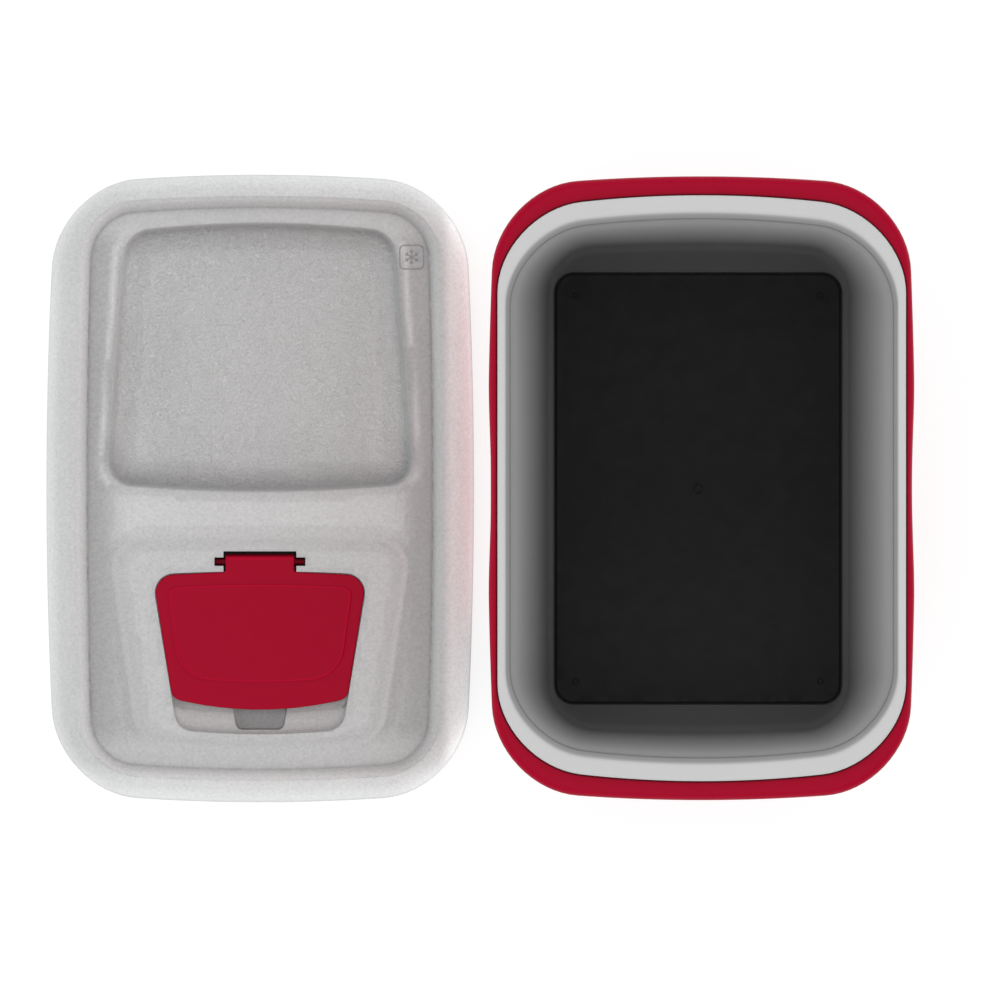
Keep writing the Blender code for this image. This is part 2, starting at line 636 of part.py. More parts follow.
def make_wheel(side, side_name, mats):
    """Plastic wheel, its tyre, its push-on retainer and its hub cap. Returns the pieces that turn."""
    centre = Vector((BODY_X, WHEEL_Y, WHEEL_RADIUS))
    inner, outer = WHEEL_X
    bore = AXLE_RADIUS + RUNNING_GAP

    def place(profile):
        return [(side * x, radius) for x, radius in profile]

    rim = place([(inner, bore), (inner, 0.0120), (inner + 0.0060, 0.0140), (inner + 0.0060, 0.0350),
                 (inner + 0.0005, 0.0385), (inner + 0.0005, RIM_WHEEL_RADIUS),
                 (inner + 0.0040, TYRE_SEAT_RADIUS),
                 (outer - 0.0040, TYRE_SEAT_RADIUS), (outer - 0.0005, RIM_WHEEL_RADIUS),
                 (outer - 0.0005, 0.0385),
                 (outer - 0.0070, 0.0350), (outer - 0.0090, 0.0190), (HUB_FACE_X, 0.0165),
                 (HUB_FACE_X, bore)])
    rim_obj = add_object(f"wheel_rim_{side_name}", turned(rim, centre), mats["wheel"])

    seat = TYRE_SEAT_RADIUS + GAP
    tyre = place([(inner + 0.0040 + GAP, seat), (inner, RIM_WHEEL_RADIUS + 0.0010),
                  (inner, WHEEL_RADIUS - 0.0025),
                  (inner + 0.0030, WHEEL_RADIUS), (outer - 0.0030, WHEEL_RADIUS),
                  (outer, WHEEL_RADIUS - 0.0025),
                  (outer, RIM_WHEEL_RADIUS + 0.0010), (outer - 0.0040 - GAP, seat)])
    tyre_obj = add_object(f"tyre_{side_name}", turned(tyre, centre), mats["tyre"])

    start = HUB_FACE_X + GAP
    retainer = place([(start, bore), (start, 0.0085), (start + 0.0010, 0.0085), (start + 0.0016, 0.0065),
                      (start + 0.0030, 0.0060), (start + 0.0030, bore)])
    add_object(f"wheel_retainer_{side_name}", turned(retainer, centre, 16), mats["steel"])

    cap_x = outer - 0.0012
    cap = place([(cap_x, 0.0), (cap_x, 0.0120), (cap_x - 0.0010, 0.0172), (cap_x - 0.0052, 0.0185),
                 (cap_x - 0.0058, 0.0150 + 0.0020), (cap_x - 0.0022, 0.0155), (cap_x - 0.0022, 0.0)])
    cap_obj = add_object(f"hub_cap_{side_name}", turned(cap, centre, 20), mats["hub_cap"])

    hub = empty_at(f"wheel_axis_{side_name}", centre + Vector((side * (inner + outer) / 2, 0, 0)))
    under(hub, rim_obj, tyre_obj, cap_obj)


# ---- Tow handle -----------------------------------------------------------------------------------------
def make_bracket(side, side_name, mat):
    """Bracket on the recess floor: a plate with two ears that hold the pivot pin."""
    normal = recess_normal()
    floor = recess_floor(side * ARM_X, PIVOT_Z)
    plate = block((-0.0150, 0.0, -0.0230), (0.0150, PLATE_THICKNESS, 0.0230), 0.0010, 1)
    tilt = Matrix.Rotation(-math.atan2(-normal.z, normal.y), 4, "X")
    bmesh.ops.transform(plate, matrix=Matrix.Translation(floor + normal * GAP) @ tilt, verts=plate.verts)
    bracket = add_object(f"handle_bracket_{side_name}", plate, mat)

    ears = []
    for ear in (-1, 1):
        inner, outer = ARM_WIDTH / 2 + 0.0005, ARM_WIDTH / 2 + 0.0040
        xs = sorted((BODY_X + side * ARM_X + ear * inner, BODY_X + side * ARM_X + ear * outer))
        profile = [(floor.y + 0.0018, PIVOT_Z - 0.0090), (PIVOT_Y, PIVOT_Z - 0.0060)]
        for step in range(1, 8):
            angle = math.radians(-90 + 180 * step / 8)
            profile.append((PIVOT_Y + 0.0060 * math.cos(angle), PIVOT_Z + 0.0060 * math.sin(angle)))
        profile += [(PIVOT_Y, PIVOT_Z + 0.0060), (floor.y + 0.0018, PIVOT_Z + 0.0090)]
        ears.append(loft([[Vector((x, y, z)) for y, z in profile] for x in xs]))
    boolean(bracket, add_object(f"guide_ears_{side_name}", merged(*ears)), "UNION")

    holes = [cylinder(place - normal * 0.002, place + normal * 0.010, SCREW_RADIUS + RUNNING_GAP, 12)
             for name, place in screw_places().items() if side_name in name]
    holes.append(cylinder((BODY_X + side * ARM_X - 0.014, PIVOT_Y, PIVOT_Z),
                          (BODY_X + side * ARM_X + 0.014, PIVOT_Y, PIVOT_Z), PIN_RADIUS + RUNNING_GAP))
    boolean(bracket, add_object(f"guide_bracket_holes_{side_name}", merged(*holes)))


def make_pin(side, side_name, mat):
    """Pivot pin with a head at each end."""
    half = ARM_WIDTH / 2 + 0.0040 + RUNNING_GAP
    head = 0.0014
    profile = [(-half - head, 0.0), (-half - head, 0.0036), (-half - head / 2, 0.0046), (-half, 0.0046),
               (-half, PIN_RADIUS), (half, PIN_RADIUS), (half, 0.0046), (half + head / 2, 0.0046),
               (half + head, 0.0036), (half + head, 0.0)]
    add_object(f"handle_pin_{side_name}", turned(profile,
                                                 Vector((BODY_X + side * ARM_X, PIVOT_Y, PIVOT_Z)),
                                                 PIN_SEGMENTS), mat)


def make_screws(mat):
    """Pan-head screws through the bracket plates."""
    normal = recess_normal()
    plate_top = PLATE_THICKNESS + GAP
    for name, place in screw_places().items():
        profile = [(plate_top + GAP + 0.0022, 0.0), (plate_top + GAP + 0.0020, 0.0022),
                   (plate_top + GAP + 0.0008, 0.0036), (plate_top + GAP, 0.0036),
                   (plate_top + GAP, SCREW_RADIUS), (-0.0065, SCREW_RADIUS), (-0.0080, 0.0)]
        bm = turned(profile, Vector((0, 0, 0)), 12)
        turn = Vector((1, 0, 0)).rotation_difference(normal).to_matrix().to_4x4()
        bmesh.ops.transform(bm, matrix=Matrix.Translation(place) @ turn, verts=bm.verts)
        add_object(name, bm, mat)


def make_tow_handle(mats):
    """Moulded bail with an eye at the top of each arm, and a soft grip on its crossbar."""
    bar_z = PIVOT_Z - ARM_LENGTH
    bar_radius = 0.0070
    bail = add_object("tow_bail", cylinder((BODY_X - ARM_X, PIVOT_Y, bar_z),
                                           (BODY_X + ARM_X, PIVOT_Y, bar_z),
                                           bar_radius, 16), mats["handle"])
    arms = []
    for side in (-1, 1):
        x = BODY_X + side * ARM_X
        half_w, half_t = ARM_WIDTH / 2, ARM_THICKNESS / 2
        corner_z = bar_z - 0.0080
        profile = [(PIVOT_Y - half_t, corner_z), (PIVOT_Y + half_t, corner_z), (PIVOT_Y + half_t, PIVOT_Z)]
        for step in range(1, 8):
            angle = math.pi * step / 8
            profile.append((PIVOT_Y + half_t * math.cos(angle), PIVOT_Z + half_t * math.sin(angle)))
        profile.append((PIVOT_Y - half_t, PIVOT_Z))
        bm = loft([[Vector((x + offset, y, z)) for y, z in profile] for offset in (-half_w, half_w)])
        arms.append(bm)
    boolean(bail, add_object("guide_arms", merged(*arms)), "UNION")
    eyes = [cylinder((BODY_X + side * ARM_X - 0.01, PIVOT_Y, PIVOT_Z),
                     (BODY_X + side * ARM_X + 0.01, PIVOT_Y, PIVOT_Z),
                     PIN_RADIUS + RUNNING_GAP) for side in (-1, 1)]
    boolean(bail, add_object("guide_eyes", merged(*eyes)))

    half = 0.0620
    bore = bar_radius + RUNNING_GAP
    end = TOW_GRIP_RADIUS - 0.0025
    profile = [(-half, bore), (-half, end), (-half + 0.0025, TOW_GRIP_RADIUS),
               (-half / 3, TOW_GRIP_RADIUS + 0.0005),
               (half / 3, TOW_GRIP_RADIUS + 0.0005), (half - 0.0025, TOW_GRIP_RADIUS), (half, end),
               (half, bore)]
    grip_obj = add_object("tow_grip", turned(profile, Vector((BODY_X, PIVOT_Y, bar_z)), 20), mats["grip"])
    under(empty_at("tow_handle_axis", (BODY_X, PIVOT_Y, PIVOT_Z)), bail, grip_obj)


# ---- Lid ------------------------------------------------------------------------------------------------
def lid_ring(inset, z, bow=LID_BOW, radius=0.0736):
    half = (LID_HALF[0] - inset, LID_HALF[1] - inset)
    return bowed_rectangle(half, max(radius - inset, 0.02), bow, LID_X, z)


def field_ring(grow, z):
    half = (FIELD_HALF[0] + grow, FIELD_HALF[1] + grow)
    return bowed_rectangle(half, FIELD_RADIUS + grow, (0.030, 0.030), LID_X, z)


def rim_ring(offset, z):
    """Ring that follows the body's rim, around the lid's own centre."""
    half = (RIM_HALF[0] + offset, RIM_HALF[1] + offset)
    return bowed_rectangle(half, RIM_RADIUS + offset, RIM_BOW, LID_X, z)


def mouth_ring(offset, z):
    """Ring that follows the tub's mouth, around the lid's own centre."""
    half = (MOUTH_HALF[0] + offset, MOUTH_HALF[1] + offset)
    return bowed_rectangle(half, 0.064 + offset, RIM_BOW, LID_X, z)


def outline_solid(corners, levels):
    """A solid through grown copies of one outline; levels is a list of (growth, height)."""
    return loft([rounded_outline(grown(corners, growth), z) for growth, z in levels])


def tray_solid(grow):
    """Dished tray in the sunk field."""
    floor = FIELD_Z - TRAY_DEPTH - grow
    levels = [(grow + 0.0012, FIELD_Z + 0.0060), (grow + 0.0012, FIELD_Z),
              (grow - 0.0012, FIELD_Z - 0.0040 - grow),
              (grow - 0.0050, floor + 0.0018), (grow - 0.0140, floor)]
    return outline_solid(mirrored(TRAY_HALF), levels)


def pocket_solid(grow):
    """Pocket that the hatch door lies in; its lower end slopes down under the door."""
    upper = grown(mirrored(POCKET_HALF), grow)
    lower = grown(mirrored(POCKET_FLOOR_HALF), grow)
    return loft([rounded_outline(upper, PLATEAU_Z + 0.008),
                 rounded_outline(upper, PLATEAU_Z - 0.0012 - grow),
                 rounded_outline(lower, POCKET_Z - grow)])


def hinge_slots(grow):
    """Slot for the door's barrel and the narrower slots for its trunnions, open at the top."""
    barrel = block((LID_X - BARREL_HALF_LENGTH - 0.0012 - grow, -0.0800,
                    HINGE_Z - BARREL_RADIUS - 0.0008 - grow),
                   (LID_X + BARREL_HALF_LENGTH + 0.0012 + grow, -0.0546 + grow, PLATEAU_Z + 0.008))
    return barrel


def trunnion_slots(grow):
    reach = TRUNNION_HALF_LENGTH + 0.0006 + grow
    half = TRUNNION_RADIUS + 0.0004 + grow
    return block((LID_X - reach, HINGE_Y - half, HINGE_Z - half),
                 (LID_X + reach, HINGE_Y + half, PLATEAU_Z + 0.008))


def throat_solid(grow, low_z, high_z):
    return outline_solid(mirrored(THROAT_HALF), [(grow, low_z), (grow, high_z)])


def notch_solid(grow):
    return outline_solid(NOTCH, [(grow, PLATEAU_Z + 0.008), (grow, NOTCH_Z - grow)])


def cut_lid_hollows(target, label, grow):
    """Cuts the tray, the hatch's pocket and its slots from a solid of the lid."""
    boolean(target, add_object(f"guide_{label}_tray", merged(tray_solid(grow), pocket_solid(grow))))
    boolean(target, add_object(f"guide_{label}_barrel_slot", hinge_slots(grow)))
    boolean(target, add_object(f"guide_{label}_trunnion_slots", trunnion_slots(grow)))
    boolean(target, add_object(f"guide_{label}_notch", notch_solid(grow)))


def make_lid_cavity(name, inset, low_z):
    """The space inside the lid's outer skin."""
    rings = [lid_ring(inset + 0.0012, low_z), lid_ring(inset, 0.0200),
             lid_ring(inset + 0.0050, 0.0400 - inset / 2),
             lid_ring(inset + 0.0155, CREST_Z - 0.0020 - inset),
             field_ring(0.0090 - inset / 2, CREST_Z - 0.0012 - inset),
             field_ring(-inset, FIELD_Z - inset)]
    return add_object(name, loft(rings))


def make_lid_shell(mat):
    """Grey top skin of the lid, with its skirt and the neck of the hatch."""
    rings = [lid_ring(0.0012, 0.0), lid_ring(0.0, 0.0200), lid_ring(0.0022, 0.0345),
             lid_ring(0.0075, 0.0455),
             lid_ring(0.0140, 0.0507), lid_ring(0.0200, CREST_Z), field_ring(0.0060, 0.0508),
             field_ring(0.0015, 0.0475), field_ring(-0.0010, 0.0443), field_ring(-0.0035, FIELD_Z)]
    shell = add_object("lid_shell", loft(rings), mat)
    plateau = outline_solid(mirrored(PLATEAU_HALF),
                            [(-0.004, FIELD_Z - 0.001), (0.0030, FIELD_Z - 0.0005), (0.0, FIELD_Z + 0.0012),
                                           (-0.0030, PLATEAU_Z - 0.0003), (-0.0060, PLATEAU_Z)])
    boolean(shell, add_object("guide_plateau", plateau), "UNION")
    cut_lid_hollows(shell, "lid", 0.0)

    cavity = make_lid_cavity("guide_lid_cavity", WALL, -0.01)
    cut_lid_hollows(cavity, "lid_cavity", WALL)
    boolean(cavity, add_object("guide_neck", throat_solid(WALL, -0.02, 0.06)))
    boolean(shell, cavity)
    boolean(shell, add_object("guide_throat", throat_solid(0.0, -0.01, 0.06)))
    return shell


def make_lid_liner(mat):
    """The lid's underside: a flange, the groove that takes the rim, and the plug that fits the mouth."""
    flange_top = WALL
    rings = [mouth_ring(-0.0060, PLUG_Z), mouth_ring(-0.0036, PLUG_Z + 0.0010),
             mouth_ring(-0.0026, GROOVE_TOP_Z),
             rim_ring(0.0014, GROOVE_TOP_Z), rim_ring(0.0016, 0.0006), rim_ring(0.0022, 0.0),
             lid_ring(0.0012 + WALL + GAP, 0.0), lid_ring(0.0010 + WALL + GAP, flange_top),
             rim_ring(0.0012 + WALL, flange_top), rim_ring(0.0010 + WALL, GROOVE_TOP_Z + WALL),
             mouth_ring(-0.0026 - WALL, GROOVE_TOP_Z + WALL), mouth_ring(-0.0036 - WALL, PLUG_Z + WALL)]
    liner = add_object("lid_liner", loft(rings), mat)
    boolean(liner, add_object("guide_liner_throat", throat_solid(WALL + GAP, -0.02, 0.06)))
    return liner


def make_lid_insulation(mat):
    """Foam between the lid's two skins."""
    foam = make_lid_cavity("lid_insulation", WALL + GAP, WALL + GAP)
    foam.data.materials.append(mat)
    cut_lid_hollows(foam, "lid_foam", WALL + FOAM_GAP)
    boolean(foam, add_object("guide_foam_throat", throat_solid(WALL + GAP, -0.02, 0.06)))
    grow = WALL + GAP
    groove = [mouth_ring(-0.0036 - grow, -0.010), mouth_ring(-0.0036 - grow, PLUG_Z + grow),
              mouth_ring(-0.0026 - grow, GROOVE_TOP_Z + grow),
              rim_ring(0.0010 + grow, GROOVE_TOP_Z + grow), rim_ring(0.0012 + grow, -0.010)]
    boolean(foam, add_object("guide_foam_groove", ring_solid(groove)))
    low = [mouth_ring(0.0, -0.010), mouth_ring(0.0, PLUG_Z + grow)]
    boolean(foam, add_object("guide_foam_plug_panel", loft(low)))
    return foam


# ---- Hatch ----------------------------------------------------------------------------------------------
def swing_clearance(side):
    """Round space about the hinge that the pocket's rear wall sweeps out of the turning door."""
    wall = rounded_outline(mirrored(POCKET_HALF), 0.0, 0.0)
    outermost = max(wall, key=lambda point: point.x)
    tab_edge = BARREL_HALF_LENGTH + 0.0004
    rear = sorted((point.x, point.y) for point in wall if point.x >= 0.0 and point.y >= outermost.y)
    before = [point for point in rear if point[0] < tab_edge][-1]
    after = [point for point in rear if point[0] >= tab_edge]
    share = (tab_edge - before[0]) / (after[0][0] - before[0])
    stations = [(tab_edge, before[1] + share * (after[0][1] - before[1]))] + after
    stations.append((outermost.x + 0.002, outermost.y))
    rings = []
    for x, y in stations:
        radius = math.hypot(HINGE_Y - y, PLATEAU_Z - HINGE_Z) + HATCH_SWING_GAP
        turns = [2 * math.pi * index / HINGE_SEGMENTS for index in range(HINGE_SEGMENTS)]
        rings.append([Vector((LID_X + side * x, HINGE_Y + radius * math.cos(turn),
                              HINGE_Z + radius * math.sin(turn)))
                      for turn in turns])
    return loft(rings)


def make_hatch_door(mat):
    """Red door: a plate with a lip round it, a slightly raised panel, a hinge barrel and two trunnions."""
    corners = mirrored(DOOR_HALF)
    panel = mirrored(PANEL_HALF_LINE)
    top = PLATEAU_Z
    lip_z = POCKET_Z + GAP
    inner_top = top - 0.0026
    lip = 0.0026
    levels = [(grown(corners, -lip - 0.0004), inner_top), (grown(corners, -lip), lip_z), (corners, lip_z),
              (corners, top - 0.0018), (grown(corners, -0.0005), top - 0.0009),
              (grown(corners, -0.0014), top - 0.0004), (grown(panel, 0.0008), top - 0.0004), (panel, top)]
    door = add_object("hatch_door", loft([rounded_outline(outline, z) for outline, z in levels]), mat)

    for side, side_name in ((-1, "left"), (1, "right")):
        boolean(door, add_object(f"guide_swing_{side_name}", swing_clearance(side)))

    tab_low_y = -0.0760
    tab = [(tab_low_y, inner_top - 0.0010), (HINGE_Y, inner_top - 0.0010), (HINGE_Y, top - 0.00045),
           (tab_low_y, top - 0.00045)]
    tab_solid = loft([[Vector((LID_X + x, y, z)) for y, z in tab] for x in (-BARREL_HALF_LENGTH,
                                                                            BARREL_HALF_LENGTH)])
    boolean(door, add_object("guide_tab", tab_solid), "UNION")
    barrel = cylinder((LID_X - BARREL_HALF_LENGTH, HINGE_Y, HINGE_Z),
                      (LID_X + BARREL_HALF_LENGTH, HINGE_Y, HINGE_Z),
                      BARREL_RADIUS - 0.0004, HINGE_SEGMENTS)
    boolean(door, add_object("guide_barrel", barrel), "UNION")
    trunnion = cylinder((LID_X - TRUNNION_HALF_LENGTH, HINGE_Y, HINGE_Z),
                        (LID_X + TRUNNION_HALF_LENGTH, HINGE_Y, HINGE_Z),
                        TRUNNION_RADIUS, 16)
    boolean(door, add_object("guide_trunnion", trunnion), "UNION")
    under(empty_at("hatch_axis", (LID_X, HINGE_Y, HINGE_Z)), door)


# ---- Assembly -------------------------------------------------------------------------------------------
def build():
    clear_scene()
    red = (0.34, 0.004, 0.020)
    light_grey = (0.58, 0.58, 0.58)
    black = (0.02, 0.02, 0.02)
    mats = {
        "shell": material("shell_red", red, 0.45),
        "hatch": material("hatch_red", red, 0.40),
        "liner": material("liner_grey", (0.55, 0.55, 0.56), 0.40),
        "lid": material("lid_grey", light_grey, 0.55),
        "lid_liner": material("lid_liner_grey", light_grey, 0.50),
        "foam": material("foam", (0.80, 0.74, 0.55), 0.90),
        "lid_foam": material("lid_foam", (0.80, 0.74, 0.55), 0.90),
        "plug": material("plug_black", black, 0.55),
        "foot": material("foot_rubber", black, 0.85),
        "steel": material("zinc_steel", (0.60, 0.60, 0.58), 0.35, 1.0),
        "wheel": material("wheel_black", (0.03, 0.03, 0.03), 0.50),
        "tyre": material("tyre_rubber", (0.015, 0.015, 0.015), 0.85),
        "hub_cap": material("hub_cap_grey", light_grey, 0.45),
        "bracket": material("bracket_black", (0.03, 0.03, 0.03), 0.50),
        "handle": material("handle_black", (0.025, 0.025, 0.025), 0.45),
        "grip": material("grip_rubber", (0.02, 0.02, 0.02), 0.80),
    }
    make_outer_shell(mats["shell"])
    make_inner_liner(mats["liner"])
    make_body_insulation(mats["foam"])
    make_foam_plug(mats["plug"])
    make_axle(mats["steel"])
    for side, side_name in ((-1, "left"), (1, "right")):
        make_foot(side, f"foot_{side_name}", mats["foot"])
        make_wheel(side, side_name, mats)
        make_bracket(side, side_name, mats["bracket"])
        make_pin(side, side_name, mats["steel"])
    make_screws(mats["steel"])
    make_tow_handle(mats)
    make_lid_shell(mats["lid"])
    make_lid_liner(mats["lid_liner"])
    make_lid_insulation(mats["lid_foam"])
    make_hatch_door(mats["hatch"])
    bpy.context.view_layer.update()


build()
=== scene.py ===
"""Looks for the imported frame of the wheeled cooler: the open body, and its lid on the ground beside it."""
import math

import bmesh
import bpy
import numpy as np
from mathutils import Matrix, Vector
from mathutils.geometry import delaunay_2d_cdt


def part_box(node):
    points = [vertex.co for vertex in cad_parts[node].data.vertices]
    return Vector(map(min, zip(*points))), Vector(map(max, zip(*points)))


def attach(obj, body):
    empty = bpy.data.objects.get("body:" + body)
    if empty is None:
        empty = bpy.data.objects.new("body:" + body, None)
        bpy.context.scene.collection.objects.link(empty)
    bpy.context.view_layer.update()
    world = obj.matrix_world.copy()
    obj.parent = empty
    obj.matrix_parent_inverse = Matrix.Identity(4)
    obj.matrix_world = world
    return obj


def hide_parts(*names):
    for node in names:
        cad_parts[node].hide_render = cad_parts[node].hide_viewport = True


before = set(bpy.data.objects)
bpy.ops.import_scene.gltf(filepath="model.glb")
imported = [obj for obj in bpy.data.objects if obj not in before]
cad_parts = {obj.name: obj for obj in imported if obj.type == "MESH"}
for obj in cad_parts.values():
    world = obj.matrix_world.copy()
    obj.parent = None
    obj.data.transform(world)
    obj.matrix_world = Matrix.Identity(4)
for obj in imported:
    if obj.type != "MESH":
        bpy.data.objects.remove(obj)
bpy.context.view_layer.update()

MM = 0.001
SIDES = ("left", "right")

# ---- Dimensions, as in the CAD --------------------------------------------------------------------------
LID_LOW, LID_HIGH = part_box("lid_shell")
RIM_LOW, RIM_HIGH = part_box("inner_liner")
LID_X = (LID_LOW.x + LID_HIGH.x) / 2
BODY_X = (RIM_LOW.x + RIM_HIGH.x) / 2
LID_HALF = (0.1857, 0.2725)
SHOULDER_HALF = (0.1820, 0.2655)
WALL_FOOT_HALF = (0.1600, 0.2400)
WALL_FLARE = (0.0175, 0.0195)
WALL_FOOT_RADIUS = 0.056
WALL = 0.0028
GAP = 0.0004
BASE_Z = 0.0220
SHOULDER_Z = 0.3600
RIM_TOP_Z = RIM_HIGH.z
PANEL_Z = 0.0670
SHELF_Z = 0.0750
SHOULDER_BOW = (0.037, 0.040)
RIM_BOW = (0.000, 0.066)
LID_BOW = (0.047, 0.036)
FLOOR_BOW = (0.004, 0.024)
SHOULDER_RADIUS = 0.0725
RIM_RADIUS = 0.0715
FLOOR_RADIUS = 0.0400
LID_RADIUS = 0.0736
RIM_HALF = (0.1736, 0.2490)
RIM_INNER_HALF = (0.1684, 0.2365)
MOUTH_HALF = (0.1625, 0.2285)
MOUTH_RADIUS = 0.064
FOOT_HALF = (0.1315, 0.2115)
PANEL_HALF = (0.1240, 0.1865)
WALL_TOP_Z = 0.3380
SCOOP_HALF_LENGTH = 0.0970
SCOOP_DEPTH = 0.0028
GRIP_HALF_LENGTH = 0.0560
GRIP_DEEPEST_X = 0.1665
GRIP_BEND_Z = 0.3220
KICK_Y = (-0.1880, -0.2450)
KICK_TOP_Z = 0.0740
WHEEL_RADIUS = 0.0500
WHEEL_Y = -0.1620
WHEEL_X = (0.1490, 0.1740)
ARCH_X = 0.1470
ARCH_RADIUS = 0.0560
CHANNEL_HALF = (0.1410, 0.0070)
CHANNEL_TOP_Z = 0.0565
PIVOT_Y = 0.2515
PIVOT_Z = 0.2850
ARM_X = 0.0880
ARM_HALF_THICKNESS = 0.0050
BAR_Z = PIVOT_Z - 0.1720
RECESS_HALF_WIDTH = 0.1120
RECESS_Z = (0.0860, 0.3120)
RECESS_Y = (0.2310, 0.2415)
RECESS_CORNER = 0.012
RECESS_BOX = ((-RECESS_HALF_WIDTH, RECESS_Z[0]), (RECESS_HALF_WIDTH, RECESS_Z[1]))
FIELD_Z = 0.0438
CREST_Z = 0.0520
PLATEAU_Z = 0.0463
TRAY_DEPTH = 0.0105
GROOVE_TOP_Z = 0.0118
PLUG_Z = 0.0010
FIELD_HALF = (0.1534, 0.2473)
FIELD_RADIUS = 0.0410
HINGE_Y = -0.0635
BARREL_RADIUS = 0.0072
BARREL_HALF_LENGTH = 0.0298
TRUNNION_RADIUS = 0.0032
TRUNNION_SPACE = 0.0036
HINGE_Z = PLATEAU_Z - BARREL_RADIUS
POCKET_Z = PLATEAU_Z - 0.0095
NOTCH_Z = PLATEAU_Z - 0.0155

# Corner points (x, y, corner radius) of the right half, from the top centre to the bottom centre.
TRAY = [(0, 0.2340, 0.860), (0.1165, 0.2225, 0.024), (0.1325, 0.0040, 0.020), (0, -0.0060, 1.300)]
PLATEAU = [(0, -0.0415, 3.300), (0.1285, -0.0450, 0.024), (0.1035, -0.2180, 0.028), (0, -0.2275, 0.700)]
DOOR = [(0.0298, HINGE_Y, 0.0006), (0.0298, -0.0723, 0.0020), (0.0930, -0.0755, 0.0160),
        (0.0760, -0.1825, 0.0105), (0, -0.1985, 0.300)]
PANEL = [(0, -0.0820, 1.200), (0.0795, -0.0865, 0.0070), (0.0690, -0.1640, 0.0300), (0, -0.1685, 0.5)]
POCKET = [(0, -0.0705, 1.600), (0.0941, -0.0745, 0.0170), (0.0718, -0.2095, 0.0170), (0, -0.2150, 0.650)]
POCKET_FLOOR = POCKET[:2] + [(0.0748, -0.1900, 0.0100), (0, -0.1970, 0.500)]
THROAT = [(0, -0.0880, 2.400), (0.0790, -0.0900, 0.0140), (0.0670, -0.1690, 0.0140), (0, -0.1745, 0.600)]
NOTCH = [(0.0250, -0.1830, 0.0030), (-0.0250, -0.1830, 0.0030), (-0.0205, -0.2094, 0.0062),
         (0.0205, -0.2094, 0.0062)]
CORNER_STEPS, SIDE_STEPS, END_STEPS, ARC_STEPS = 16, 72, 40, 9


# ---- Outlines -------------------------------------------------------------------------------------------
def bowed(half, radius, bow):
    """A rounded rectangle whose sides and ends bulge, as an array of points in turn."""
    corners = []
    for sign_x, sign_y, start in ((1, 1, 0), (-1, 1, 90), (-1, -1, 180), (1, -1, 270)):
        angle = np.radians(start + 90 * np.arange(CORNER_STEPS + 1) / CORNER_STEPS)
        corners.append(np.stack([sign_x * (half[0] - radius) + radius * np.cos(angle),
                                 sign_y * (half[1] - radius) + radius * np.sin(angle)], 1))
    rows = []
    for index, corner in enumerate(corners):
        steps = END_STEPS if index % 2 == 0 else SIDE_STEPS
        share = (np.arange(1, steps) / steps)[:, None]
        rows += [corner, corner[-1] + (corners[(index + 1) % 4][0] - corner[-1]) * share]
    x, y = np.concatenate(rows).T
    return np.stack([x * (1 - bow[0] * (y / half[1]) ** 2), y * (1 - bow[1] * (x / half[0]) ** 2)], 1)


def at(points, z):
    """Lifts flat points to a height, or to one height each."""
    return np.column_stack([points, np.broadcast_to(z, len(points))])


def whole(half):
    """Corner points all round, anticlockwise, from the right half of a symmetric outline."""
    left = [(-x, y, r) for x, y, r in half if x > 0]
    right = [corner for corner in reversed(half) if corner[0] > 0]
    return [half[0]] * (half[0][0] == 0) + left + [half[-1]] + right


def grown(corners, distance):
    """Moves every edge of an anticlockwise outline outwards by a distance."""
    lines = []
    for index, corner in enumerate(corners):
        here, there = Vector(corner[:2]), Vector(corners[(index + 1) % len(corners)][:2])
        along = (there - here).normalized()
        lines.append((here + Vector((along.y, -along.x)) * distance, along))
    moved = []
    for index, corner in enumerate(corners):
        (point_a, along_a), (point_b, along_b) = lines[index - 1], lines[index]
        cross = along_a.x * along_b.y - along_a.y * along_b.x
        offset = point_b - point_a
        place = point_a + along_a * ((offset.x * along_b.y - offset.y * along_b.x) / cross)
        turn = 1 if cross > 0 else -1
        moved.append((place.x, place.y, max(corner[2] + turn * distance, 0.0002)))
    return moved


def rounded(corners):
    """Replaces each corner with an arc of its radius that touches both edges."""
    ring = []
    for index, (x, y, radius) in enumerate(corners):
        here = Vector((x, y))
        back = (Vector(corners[index - 1][:2]) - here).normalized()
        ahead = (Vector(corners[(index + 1) % len(corners)][:2]) - here).normalized()
        half_angle = back.angle(ahead) / 2
        reach = radius / math.tan(half_angle)
        centre = here + (back + ahead).normalized() * (radius / math.sin(half_angle))
        start, end = here + back * reach - centre, here + ahead * reach - centre
        turn = start.angle_signed(end)
        for step in range(ARC_STEPS + 1):
            angle = -turn * step / ARC_STEPS
            ring.append((centre.x + start.x * math.cos(angle) - start.y * math.sin(angle),
                         centre.y + start.x * math.sin(angle) + start.y * math.cos(angle)))
    return np.array(ring)


def on_lid(points, z):
    return at(points + [LID_X, 0], z)


def on_body(points, z):
    return at(points + [BODY_X, 0], z)


def outline(half, growth=0.0):
    return rounded(grown(whole(half), growth))


def box_outline(low, high, radius=0.0004, growth=0.0):
    corners = [(high[0], high[1]), (low[0], high[1]), (low[0], low[1]), (high[0], low[1])]
    return rounded(grown([(x, y, radius) for x, y in corners], growth))


def split(loop, longest, closed=True):
    """The same outline with its long edges divided."""
    points = []
    count = len(loop) if closed else len(loop) - 1
    for index in range(count):
        here, there = loop[index], loop[(index + 1) % len(loop)]
        steps = max(1, int(np.linalg.norm(there - here) / longest + 0.5))
        points += [here + (there - here) * step / steps for step in range(steps)]
    if not closed:
        points.append(loop[-1])
    return np.array(points)


def divided(loops, longest):
    """Closed loops for a sheet, with their long edges divided."""
    return [(split(loop, longest), True) for loop in loops]


